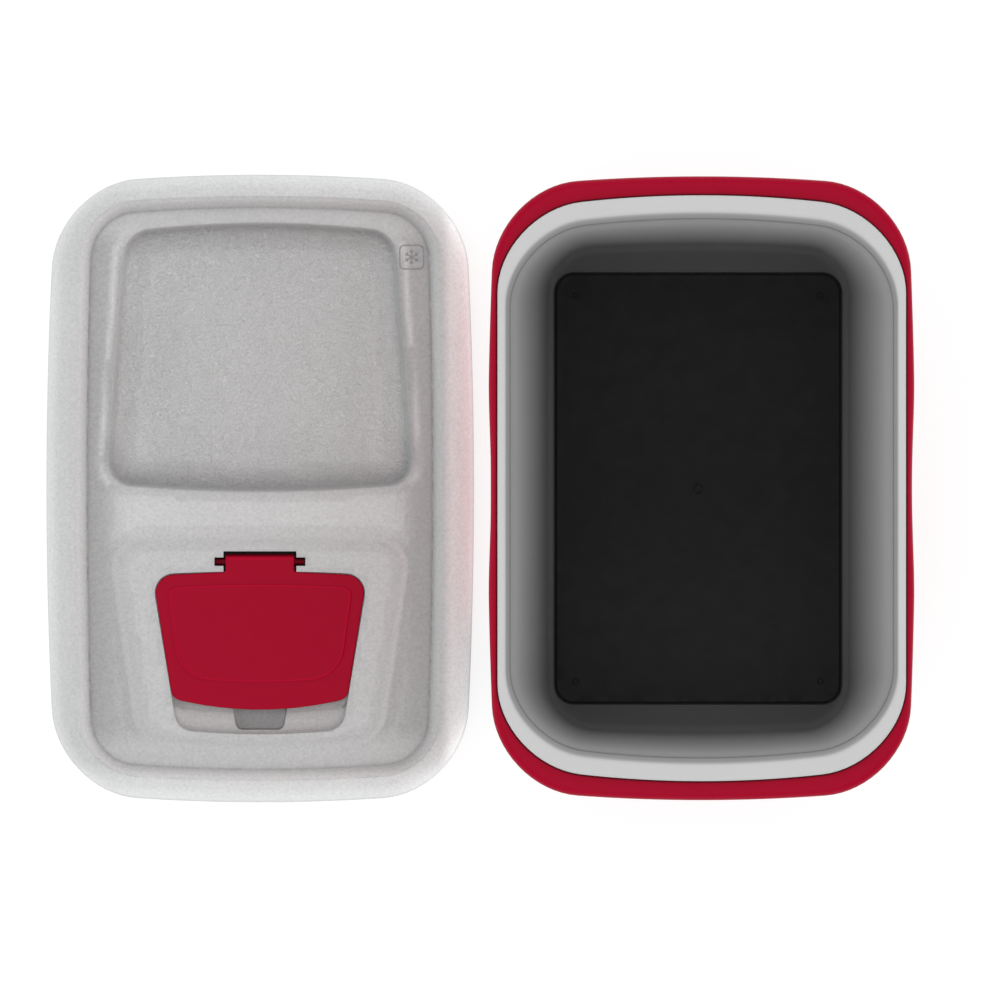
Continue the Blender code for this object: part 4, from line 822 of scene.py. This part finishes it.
# ---- Tub ------------------------------------------------------------------------------------------------
def tub_ring(z, offset=0.0):
    part = (z - SHELF_Z) / (RIM_TOP_Z - 0.008 - SHELF_Z)
    half = [FOOT_HALF[i] + (MOUTH_HALF[i] - FOOT_HALF[i]) * part + offset for i in (0, 1)]
    bow = [FLOOR_BOW[i] + (RIM_BOW[i] - FLOOR_BOW[i]) * part for i in (0, 1)]
    return bowed(half, FLOOR_RADIUS + (MOUTH_RADIUS - FLOOR_RADIUS) * part + offset, bow)


def tub_shade(z):
    """How much light reaches a depth of the tub, as a share of the colour at the rim."""
    return np.interp(z, [0.0672, 0.0684, 0.0740, 0.0750, 0.0760, 0.080, 0.088, 0.105, 0.136, 0.170, 0.212,
                         0.250, 0.288, 0.320,
                         0.345, 0.360, 0.3640, 0.3651, 0.3661, 0.3665, 0.3690, 0.3705, 0.3712, 0.3720],
                     [0.003, 0.045, 0.050, 0.130, 0.210, 0.290, 0.380, 0.540, 0.700, 0.780, 0.840, 0.880,
                      0.920, 0.960,
                      0.920, 0.840, 0.640, 0.330, 0.330, 0.500, 0.500, 0.680, 0.900, 0.940])


def make_tub():
    """Grey inner tub with its raised rim, the step inside it, tapered walls and a sunk floor panel."""
    skin = Skin()
    rim_w, rim_l = RIM_HALF
    in_w, in_l = RIM_INNER_HALF
    foot_w, foot_l = FOOT_HALF
    mouth_w, mouth_l = MOUTH_HALF
    foot_z = SHOULDER_Z + GAP
    under_z = PANEL_Z - WALL
    profile = [(bowed((foot_w - 0.008 + WALL, foot_l - 0.008 + WALL), FLOOR_RADIUS - 0.008 + WALL,
                      FLOOR_BOW), under_z)]
    profile += [(tub_ring(z, WALL), z) for z in (SHELF_Z + 0.004, 0.200, SHOULDER_Z - 0.007)]

    for inset, z in ((0.0070, foot_z), (0.0002, foot_z), (0.0, foot_z + 0.0003), (0.0, RIM_TOP_Z - 0.0022),
                     (0.0002, RIM_TOP_Z - 0.0013), (0.0007, RIM_TOP_Z - 0.0006),
                     (0.0014, RIM_TOP_Z - 0.0002),
                     (0.0022, RIM_TOP_Z)):
        profile.append((bowed((rim_w - inset, rim_l - inset), RIM_RADIUS - inset, RIM_BOW), z))
    outer_rows = len(profile)
    for inset_w, inset_l, drop in ((-0.0006, -0.0010, 0.0), (0.0004, 0.0004, 0.0002),
                                   (0.0012, 0.0016, 0.0008),
                                   (0.0018, 0.0026, 0.0016), (0.0026, 0.0040, 0.0028),
                                   (0.0036, 0.0056, 0.0042)):
        half = (in_w - inset_w, in_l - inset_l)
        profile.append((bowed(half, 0.0677 - inset_w * 0.5, (0.0, 0.070)), RIM_TOP_Z - drop))
    step_z = RIM_TOP_Z - 0.0055
    for offset, z in ((0.0014, step_z), (0.0008, step_z - 0.0004), (0.0006, step_z - 0.0014)):
        profile.append((bowed((mouth_w + offset, mouth_l + offset * 1.3), 0.0650, (0.0, 0.068)), z))
    for z in (0.3640, 0.3600, 0.340, 0.320, 0.300, 0.275, 0.250, 0.225, 0.200, 0.175, 0.150, 0.125, 0.105):
        profile.append((tub_ring(z), z))
    inner_foot = [(0.0, 0.0000, 0.0120), (0.0004, 0.0006, 0.0080), (0.0012, 0.0016, 0.0046),
                  (0.0024, 0.0030, 0.0020),
                  (0.0040, 0.0046, 0.0006), (0.0060, 0.0066, 0.0)]
    for inset_w, inset_l, rise in inner_foot:
        half = (foot_w - inset_w, foot_l - inset_l)
        profile.append((bowed(half, FLOOR_RADIUS - inset_w, FLOOR_BOW), SHELF_Z + rise))
    for growth, radius, z in ((0.0010, 0.0175, SHELF_Z - 0.0002), (0.0002, 0.0167, SHELF_Z - 0.0010),
                              (-0.0002, 0.0163, SHELF_Z - 0.0024), (-0.0006, 0.0160, PANEL_Z + 0.0014),
                              (-0.0014, 0.0154, PANEL_Z + 0.0003), (-0.0026, 0.0144, PANEL_Z)):
        profile.append((bowed((PANEL_HALF[0] + growth, PANEL_HALF[1] + growth), radius, (0.0, 0.0)), z))
    rings = [on_body(ring, z) for ring, z in profile]
    # Painted shade: the tub's inside darkens with depth as tub_shade gives it, while the rim and outside
    # keep one even tone.
    shades = [0.94] * outer_rows + [tub_shade(z) for _, z in profile[outer_rows:]]
    skin.loft(rings, shade=np.array(shades))
    skin.cap(rings[0])
    edge = rings[-1][:, :2]
    flat, faces = sheet([(edge, True)], lambda centres: distance(centres, edge) < 0,
                        grid((BODY_X - 0.115, -0.178), (BODY_X + 0.115, 0.178), 0.013))
    # Painted light on the floor panel: its colour grows lighter towards the -Y end.
    skin.add(at(flat, PANEL_Z), faces, tub_shade(PANEL_Z) * (1.0 + 3.5 * ease((0.02 - flat[:, 1]) / 0.20)))

    marks = [(x, y, 0.0030) for x in (-0.1060, 0.1060) for y in (-0.1670, 0.1670)] + [(0.0, 0.0, 0.0044)]
    for x, y, radius in marks:
        angle = 2 * math.pi * np.arange(32) / 32
        circle = np.column_stack([np.cos(angle), np.sin(angle)])
        rows = [(radius, -0.0004), (radius, 0.0002), (radius - 0.0003, 0.0005), (radius - 0.0008, 0.0005),
                (radius - 0.0011, 0.0002), (radius - 0.0011, -0.0004)]
        # The marks carry the floor's painted shade, lightened.
        skin.loft([at(circle * reach + [BODY_X + x, y], PANEL_Z + rise) for reach, rise in rows], loop=True,
                  shade=tub_shade(PANEL_Z) * 1.8)
    return skin.piece("tub", "cooler_body", "liner_grey", ["inner_liner"])


# ---- Red body -------------------------------------------------------------------------------------------
def wall_outline(z):
    part = (z - BASE_Z) / (WALL_TOP_Z - BASE_Z)
    half = [WALL_FOOT_HALF[i] + WALL_FLARE[i] * part for i in (0, 1)]
    return bowed(half, WALL_FOOT_RADIUS + (SHOULDER_RADIUS - 0.004 - WALL_FOOT_RADIUS) * part, SHOULDER_BOW)


LOW_RING, HIGH_RING = wall_outline(BASE_Z), wall_outline(WALL_TOP_Z)
RING_SIZE = len(LOW_RING)
TURNS = np.arange(RING_SIZE + 1)


def along_ring(ring, turn):
    """Points of a ring at places that may lie between two of its points."""
    closed = np.vstack([ring, ring[:1]])
    return np.column_stack([np.interp(turn, TURNS, closed[:, axis]) for axis in (0, 1)])


def on_wall(turn, z):
    """Points of the plain red wall, from the place round it and the height."""
    part = ((z - BASE_Z) / (WALL_TOP_Z - BASE_Z))[:, None]
    return along_ring(LOW_RING, turn) * (1 - part) + along_ring(HIGH_RING, turn) * part


# Which stretch of the ring each face of the wall takes, with part of the corner at either end.
SPANS = {"end": (CORNER_STEPS * 0.1, CORNER_STEPS * 1.9 + END_STEPS),
         "left": (CORNER_STEPS * 1.3 + END_STEPS, CORNER_STEPS * 2.7 + END_STEPS + SIDE_STEPS),
         "right": (CORNER_STEPS * 3.3 + 2 * END_STEPS + SIDE_STEPS, RING_SIZE - 0.001)}


def place_on(face, across, z):
    """Places round the wall, from the distance across one face and the height."""
    low, high = SPANS[face]
    turns = np.linspace(low, high, 600)
    axis = 0 if face == "end" else 1
    found = []
    for value, height in zip(across, z):
        row = on_wall(turns, np.full(600, height))[:, axis]
        order = np.argsort(row)
        found.append(np.interp(value, row[order], turns[order]))
    return np.array(found)


def arch_outline(growth):
    """Half circle above the axle and straight down, as points along Y and Z."""
    radius = ARCH_RADIUS + growth
    angle = np.radians(np.linspace(0, 180, 49))
    arc = np.column_stack([WHEEL_Y + radius * np.cos(angle), WHEEL_RADIUS + radius * np.sin(angle)])
    legs_z = np.linspace(WHEEL_RADIUS, 0.010, 12)[1:]
    right, left = [np.column_stack([np.full(len(legs_z), WHEEL_Y + sign * radius), legs_z])
                   for sign in (1, -1)]
    return np.vstack([right[::-1], arc, left])


def arch_distance(y, z):
    side = np.abs(y - WHEEL_Y)
    return np.where(z < WHEEL_RADIUS, side, np.hypot(side, z - WHEEL_RADIUS)) - ARCH_RADIUS


STEEP_STEPS = np.array([-2.0, -1.4, -0.9, -0.5, 0.0, 0.5, 0.9, 1.4, 2.0]) * MM
STEEP_SHARE = np.array([1.0, 0.985, 0.94, 0.84, 0.5, 0.16, 0.06, 0.015, 0.0])


def recess_outline(growth):
    return split(box_outline(*RECESS_BOX, RECESS_CORNER, growth), 0.006)


def hollowed(turn, z):
    """Points of the red wall with its wheel arches, grips and handle recess pressed in."""
    flat = on_wall(turn, z)
    x, y = flat[:, 0].copy(), flat[:, 1].copy()
    side = np.sign(x)
    on_side = np.abs(x) > 0.10
    share = np.where(on_side, np.interp(arch_distance(y, z), STEEP_STEPS, STEEP_SHARE), 0)
    x = x + share * (side * ARCH_X - x) * (np.abs(x) > ARCH_X)
    floor_x = GRIP_DEEPEST_X + np.maximum(GRIP_BEND_Z - z, 0) * 1.117
    share = np.where(on_side, 1 - ease((np.abs(y) - GRIP_HALF_LENGTH + 0.010) / 0.011), 0)
    x = x - side * share * np.maximum(np.abs(x) - floor_x, 0)
    from_recess = distance(np.column_stack([x, z]), box_outline(*RECESS_BOX, RECESS_CORNER))
    depth = np.interp(from_recess, STEEP_STEPS, STEEP_SHARE)
    part = (z - RECESS_Z[0]) / (RECESS_Z[1] - RECESS_Z[0])
    floor_y = RECESS_Y[0] + part * (RECESS_Y[1] - RECESS_Y[0])
    y = np.where(y > 0.15, y - depth * np.maximum(y - floor_y, 0), y)
    return np.column_stack([x + BODY_X, y, z])


def base_height(y):
    slope = (KICK_TOP_Z - BASE_Z) / (KICK_Y[0] - KICK_Y[1])
    return BASE_Z + np.maximum(KICK_Y[0] - y, 0) * slope


def inward(loop, reach):
    """Moves a closed flat outline inwards."""
    along = np.roll(loop, -1, 0) - np.roll(loop, 1, 0)
    along /= np.maximum(np.linalg.norm(along, axis=1), 1e-9)[:, None]
    return loop + np.column_stack([-along[:, 1], along[:, 0]]) * reach


def make_body():
    """Red outer shell: walls with their hollows, the base, and the shoulder up to the rim's foot."""
    skin = Skin()
    edge_rise = 0.0032
    turns = np.linspace(0, RING_SIZE, RING_SIZE + 1)
    bottom_y = on_wall(turns, np.full(len(turns), BASE_Z))[:, 1]
    bottom_z = base_height(bottom_y) + edge_rise
    scale = 0.0045                      # metres of wall for each step round it, to keep the triangles even

    def flat(turn, z):
        return np.column_stack([np.asarray(turn) * scale, z])

    seam_z = [0.15, 0.25]
    rim = np.concatenate([flat(turns, bottom_z), flat([RING_SIZE] * 2, seam_z),
                          flat(turns[::-1], np.full(len(turns), WALL_TOP_Z)), flat([0] * 2, seam_z[::-1])])
    loops = [(rim, True)]
    for step in STEEP_STEPS:
        arc = arch_outline(step)
        for face in SIDES:
            loops.append((flat(place_on(face, arc[:, 0], arc[:, 1]), arc[:, 1]), False))
        loop = recess_outline(step)
        loops.append((flat(place_on("end", loop[:, 0], loop[:, 1]), loop[:, 1]), True))
    # Lines up the grips' ends and along their bend, so that the pressed-in shape gets clean edges.
    grip_lines = []
    line_z = np.linspace(0.300, WALL_TOP_Z, 8)
    for reach in (0.0455, 0.0475, 0.0495, 0.0515, 0.0535, 0.0555, 0.0575):
        grip_lines += [(np.full(len(line_z), sign * reach), line_z) for sign in (-1, 1)]
    across = np.linspace(-0.060, 0.060, 25)
    for z in (0.3130, 0.3145, 0.3160, 0.3190, 0.3215, 0.3225, 0.3260, 0.3320):
        grip_lines.append((across, np.full(len(across), z)))
    for along, z in grip_lines:
        loops += [(flat(place_on(face, along, z), z), False) for face in SIDES]

    def keep(centres):
        turn = centres[:, 0] / scale
        return (centres[:, 1] > np.interp(turn, turns, bottom_z)) & (centres[:, 1] < WALL_TOP_Z)

    turn, height = np.meshgrid(np.arange(1, RING_SIZE, 1.5), np.arange(0.034, WALL_TOP_Z - 0.004, 0.0085))
    spots = flat(turn.ravel(), height.ravel())
    spots = spots[spots[:, 1] > np.interp(spots[:, 0] / scale, turns, bottom_z) + 0.002]
    places, faces = sheet(loops, keep, spots)
    turn, z = places[:, 0] / scale, places[:, 1]
    skin.add(hollowed(turn, z), faces)

    on_top = np.abs(z - WALL_TOP_Z) < 1e-6
    top_turns = np.unique(np.round(turn[on_top], 5))[:-1]
    rings = [hollowed(top_turns, np.full(len(top_turns), WALL_TOP_Z))]
    for inset_w, inset_l, z_ring, share in ((0.0028, 0.0032, 0.3418, 0.2), (0.0012, 0.0014, 0.3434, 0.5),
                                            (0.0003, 0.0004, 0.3456, 0.9), (0.0, 0.0, 0.3485, 1.0),
                                            (0.0, 0.0, 0.3520, 1.0), (0.0004, 0.0004, 0.3548, 1.0),
                                            (0.0013, 0.0015, 0.3570, 1.0), (0.0026, 0.0031, 0.3586, 0.9),
                                            (0.0044, 0.0052, 0.3594, 0.7)):
        half = (SHOULDER_HALF[0] - inset_w, SHOULDER_HALF[1] - inset_l)
        ring = along_ring(bowed(half, SHOULDER_RADIUS, SHOULDER_BOW), top_turns)
        reach = np.minimum(np.abs(ring[:, 1]) / SCOOP_HALF_LENGTH, 1)
        ring[:, 0] -= np.sign(ring[:, 0]) * (SCOOP_DEPTH * share * (1 - reach ** 2) ** 2)
        rings.append(on_body(ring, z_ring))
    # Painted shadow: a near-black line painted where the shoulder meets the foot of the rim.
    shades = [1.0] * len(rings)
    for inset, z_ring, shade in ((-0.0022, 0.3598, 1.0), (-0.0013, 0.3600, 0.45), (-0.0004, 0.3600, 0.12),
                                 (0.0012, 0.3600, 0.1),
                                 (0.0035, SHOULDER_Z, 0.3), (0.0035, SHOULDER_Z - WALL, 0.3)):
        half = (RIM_HALF[0] - inset, RIM_HALF[1] - inset)
        rings.append(on_body(along_ring(bowed(half, RIM_RADIUS - inset, RIM_BOW), top_turns), z_ring))
        shades.append(shade)
    skin.loft(rings, shade=np.array(shades))

    on_bottom = np.abs(z - np.interp(turn, turns, bottom_z)) < 2e-5
    low_turns = np.unique(np.round(turn[on_bottom], 5))[:-1]
    lowest = hollowed(low_turns, np.interp(low_turns, turns, bottom_z))
    rings = [lowest]
    for reach, drop in ((0.0006, 0.0018), (0.0022, edge_rise)):
        rings.append(np.column_stack([inward(lowest[:, :2], reach), lowest[:, 2] - drop]))
    boundary = rings[-1][:, :2]
    rings[-1][:, 2] = base_height(boundary[:, 1])
    skin.loft(rings)
    low, high = [(BODY_X + sign * CHANNEL_HALF[0], WHEEL_Y + sign * CHANNEL_HALF[1]) for sign in (-1, 1)]
    channel = box_outline(low, high, 0.003)
    loops = [(boundary, True)] + divided([box_outline(low, high, 0.003,
                                                      step) for step in STEEP_STEPS[::2]], 0.02)
    loops.append((np.array([(BODY_X - 0.15, KICK_Y[0]), (BODY_X + 0.15, KICK_Y[0])]), False))
    flat_base, faces = sheet(loops, lambda centres: distance(centres, boundary) < 0)
    floor = base_height(flat_base[:, 1])
    share = np.interp(distance(flat_base, channel), STEEP_STEPS, STEEP_SHARE)
    skin.add(at(flat_base, floor + share * (CHANNEL_TOP_Z - floor)), faces)
    return skin.piece("red_shell", "cooler_body", "shell_red", ["outer_shell"])


# ---- Wheels ---------------------------------------------------------------------------------------------
def make_wheel(side, side_name):
    """Wheel disc with six ribs, its grooved tyre and the cap over the hub. side is -1 or 1."""
    centre = (BODY_X, WHEEL_Y, WHEEL_RADIUS)
    inner, outer = WHEEL_X
    body = f"wheel_{side_name}"

    def place(near, middle, far):
        """A profile: x is counted from the inner face in near and from the outer face in far."""
        profile = [(inner + x, radius) for x, radius in near] + middle + [(outer - x, radius) for x,
                                                                          radius in far]
        return [(side * x, radius) for x, radius in profile]

    rim = Skin()
    near = [(0.0, 0.0043), (0.0, 0.0120), (0.006, 0.0140), (0.006, 0.0350), (0.0012, 0.0380),
            (0.0005, 0.0390),
            (0.0005, 0.0425), (0.0012, 0.0430), (0.004, 0.0415)]
    far = [(0.004, 0.0415), (0.0012, 0.0430), (0.0005, 0.0425), (0.0005, 0.0390), (0.0014, 0.0376),
           (0.0085, 0.0356),
           (0.0105, 0.0335), (0.0110, 0.0200), (0.0096, 0.0185), (0.0078, 0.0172)]
    bore = [(0.1665, 0.0160), (0.1665, 0.0043)]
    turned(rim, place(near, [], far) + [(side * x, radius) for x, radius in bore], centre)
    for step in range(6):
        angle = math.radians(60 * step)
        rib = [(-0.0030, 0.0168), (0.0030, 0.0168), (0.0020, 0.0372), (-0.0020, 0.0372)]
        bm = slab(rib, outer - 0.0115, outer - 0.0035, 0.0009, 2)
        if side < 0:
            bmesh.ops.scale(bm, vec=(-1, 1, 1), verts=bm.verts)
            bmesh.ops.reverse_faces(bm, faces=bm.faces)
        matrix = Matrix.Translation(centre) @ Matrix.Rotation(angle, 4, "X")
        bmesh.ops.transform(bm, matrix=matrix, verts=bm.verts)
        rim.solid(bm)
    rim.piece(f"wheel_disc_{side_name}", body, "wheel_black", [f"wheel_rim_{side_name}"], 30)

    middle, half_width, grooves = (inner + outer) / 2, 0.0125, 36

    def tread(angle, x, radius):
        """Slanted grooves across the running surface."""
        if radius < WHEEL_RADIUS - 0.0012:
            return 0.0
        swing = grooves * angle / (2 * math.pi) + 0.5 * abs(abs(x) - middle) / half_width
        return 0.0011 * ease(1.4 - 5 * np.abs((swing % 1) - 0.5))

    tyre = Skin()
    edge = [(0.0044, 0.0419), (0.0004, 0.0442), (0.0001, 0.0455), (0.0002, 0.0468), (0.0010, 0.0482),
            (0.0019, 0.0491)]
    across = np.linspace(0.0028, outer - inner - 0.0028, 13)
    crown = [(inner + step, WHEEL_RADIUS - 0.0005 * ((step - half_width) / half_width) ** 2)
             for step in across]
    turned(tyre, place(edge, crown, edge[::-1]), centre, 288, tread)
    tyre.piece(f"tread_{side_name}", body, "tyre_rubber", [f"tyre_{side_name}"], 30)

    cap = Skin()
    cap_x = outer - 0.0012
    profile = [(0.0004, 0.0), (0.0004, 0.0080), (0.0, 0.0090), (0.0, 0.0110), (0.0003, 0.0130),
               (0.0010, 0.0158),
               (0.0022, 0.0175), (0.0044, 0.0184), (0.0056, 0.0182), (0.0056, 0.0170), (0.0024, 0.0155),
               (0.0024, 0.0)]
    turned(cap, [(side * (cap_x - x), radius) for x, radius in profile], centre, 56)
    cap.piece(f"centre_cap_{side_name}", body, "hub_cap_grey", [f"hub_cap_{side_name}"], 30)


# ---- Tow handle -----------------------------------------------------------------------------------------
def make_handle():
    """Bail with two arms and a crossbar, and its ribbed grip."""
    skin = Skin()
    half_t = ARM_HALF_THICKNESS
    for side in (-1, 1):
        x = BODY_X + side * ARM_X
        foot = [(PIVOT_Y - half_t + 0.0015, BAR_Z - 0.0080), (PIVOT_Y + half_t - 0.0015, BAR_Z - 0.0080),
                (PIVOT_Y + half_t, BAR_Z - 0.0065), (PIVOT_Y + half_t, PIVOT_Z)]
        for step in range(1, 20):
            angle = math.pi * step / 20
            foot.append((PIVOT_Y + half_t * math.cos(angle), PIVOT_Z + half_t * math.sin(angle)))
        foot += [(PIVOT_Y - half_t, PIVOT_Z), (PIVOT_Y - half_t, BAR_Z - 0.0065)]
        skin.solid(slab(foot, x - 0.006, x + 0.006, 0.0014))
        gusset = [(PIVOT_Y + y, BAR_Z + z) for y, z in ((-0.0032, 0.0050), (0.0032, 0.0050),
                                                        (0.0032, 0.0160),
                                                        (-0.0032, 0.0160))]
        bm = slab(gusset, 0.0, 0.0115, 0.0008)
        for vertex in bm.verts:
            share = (vertex.co.z - BAR_Z - 0.0050) / 0.011
            vertex.co.x = x - side * (0.0055 + vertex.co.x * (1 - share) ** 1.6)
        skin.solid(bm)
    bar = 0.0070
    reach = ARM_X - 0.0045
    turned(skin, [(-reach, 0.0), (-reach, bar), (-0.0615, bar), (0.0615, bar), (reach, bar), (reach, 0.0)],
           (BODY_X, PIVOT_Y, BAR_Z), 40)
    skin.piece("bail", "tow_handle", "handle_black", ["tow_bail"], 35)

    grip = Skin()
    half, bore = 0.0620, 0.0073
    xs = np.linspace(-half + 0.0040, half - 0.0040, 85)
    ripple = 0.0116 + 0.0009 * np.abs(np.cos(math.pi * xs / 0.0082)) ** 0.6
    ends = [(-half, bore), (-half, 0.0092), (-half + 0.0006, 0.0105), (-half + 0.0020, 0.0115)]
    profile = ends + list(zip(xs, ripple)) + [(-x, radius) for x, radius in reversed(ends)]
    turned(grip, profile, (BODY_X, PIVOT_Y, BAR_Z), 48)
    grip.piece("grip_sleeve", "tow_handle", "grip_rubber", ["tow_grip"], 50)


# ---- CAD nodes that stay --------------------------------------------------------------------------------
def dress(names, slot):
    for name in names:
        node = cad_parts[name]
        node.data.materials.clear()
        node.data.materials.append(MATERIALS[slot])


def dress_cad():
    dress(["axle"], "zinc_steel")
    for side in SIDES:
        dress([f"wheel_retainer_{side}", f"handle_pin_{side}"], "zinc_steel")
        dress([f"bracket_screw_{side}_upper", f"bracket_screw_{side}_lower"], "zinc_steel")
        dress([f"handle_bracket_{side}"], "bracket_black")
        dress([f"foot_{side}"], "foot_rubber")
    dress(["foam_plug"], "plug_black")
    dress(["body_insulation"], "body_foam")
    dress(["lid_insulation"], "lid_foam")


# ---- Stage ----------------------------------------------------------------------------------------------
def make_stage(fill_only):
    """Pale floor, soft lights, a shadowless fill for the lid only, and a camera straight above."""
    scene = bpy.context.scene
    scene.view_settings.view_transform = "Standard"
    reach = 40.0
    mesh = bpy.data.meshes.new("floor")
    corners = [(-reach, -reach, 0), (reach, -reach, 0), (reach, reach, 0), (-reach, reach, 0)]
    mesh.from_pydata(corners, [], [(0, 1, 2, 3)])
    floor = bpy.data.objects.new("floor", mesh)
    scene.collection.objects.link(floor)
    nodes = Nodes("floor")
    nodes.set({"Base Color": (0.32, 0.32, 0.32, 1), "Emission Color": (1, 1, 1, 1),
               "Emission Strength": 0.78,
               "Roughness": 0.9, "Specular IOR Level": 0.1})
    floor.data.materials.append(nodes.material)

    world = bpy.data.worlds.new("studio")
    world.use_nodes = True
    background = world.node_tree.nodes["Background"].inputs
    background["Color"].default_value = (1, 1, 1, 1)
    background["Strength"].default_value = 0.66
    scene.world = world

    lights = [("overhead", (0, 0, 3.2), 3.0, 26.0)]
    lights += [(name, place, 2.4, 12.0) for name, place in
               (("left_box", (-3.0, 0, 1.5)), ("right_box", (3.0, 0, 1.5)), ("far_box", (0, 3.2, 1.5)),
                ("near_box", (0, -3.2, 1.5)))]
    for name, place, width, power in lights:
        light = bpy.data.lights.new(name, "AREA")
        light.shape = "DISK"
        light.size = width
        light.energy = power
        obj = bpy.data.objects.new(name, light)
        obj.location = place
        obj.rotation_euler = (Vector((0, 0, 0.15)) - Vector(place)).to_track_quat("-Z", "Y").to_euler()
        obj.visible_camera = False
        scene.collection.objects.link(obj)

    fill = bpy.data.lights.new("lid_fill", "SUN")
    fill.energy = 1.5
    fill.angle = math.radians(50)
    fill.use_shadow = False
    fill_lamp = bpy.data.objects.new("lid_fill", fill)
    fill_lamp.rotation_euler = Vector((-1, 0, -0.45)).to_track_quat("-Z", "Y").to_euler()
    scene.collection.objects.link(fill_lamp)
    lit = bpy.data.collections.new("lit_by_fill")
    for obj in fill_only:
        lit.objects.link(obj)
    fill_lamp.light_linking.receiver_collection = lit

    camera = bpy.data.cameras.new("camera")
    distance_above = 16.0
    frame_width = 0.850
    frame_centre = (0.0207, -0.0100)
    sensor_width = 36.0
    camera.sensor_width = sensor_width
    camera.lens = sensor_width * distance_above / frame_width
    camera.clip_end = 200.0
    eye = bpy.data.objects.new("camera", camera)
    eye.location = (*frame_centre, RIM_TOP_Z + distance_above)
    scene.collection.objects.link(eye)
    scene.camera = eye


lid_top = make_lid_shell()
make_lid_liner()
emblem = make_emblem()
make_hatch()
make_tub()
make_body()
for wheel_side, wheel_name in zip((-1, 1), SIDES):
    make_wheel(wheel_side, wheel_name)
make_handle()
dress_cad()
make_stage([lid_top, emblem])
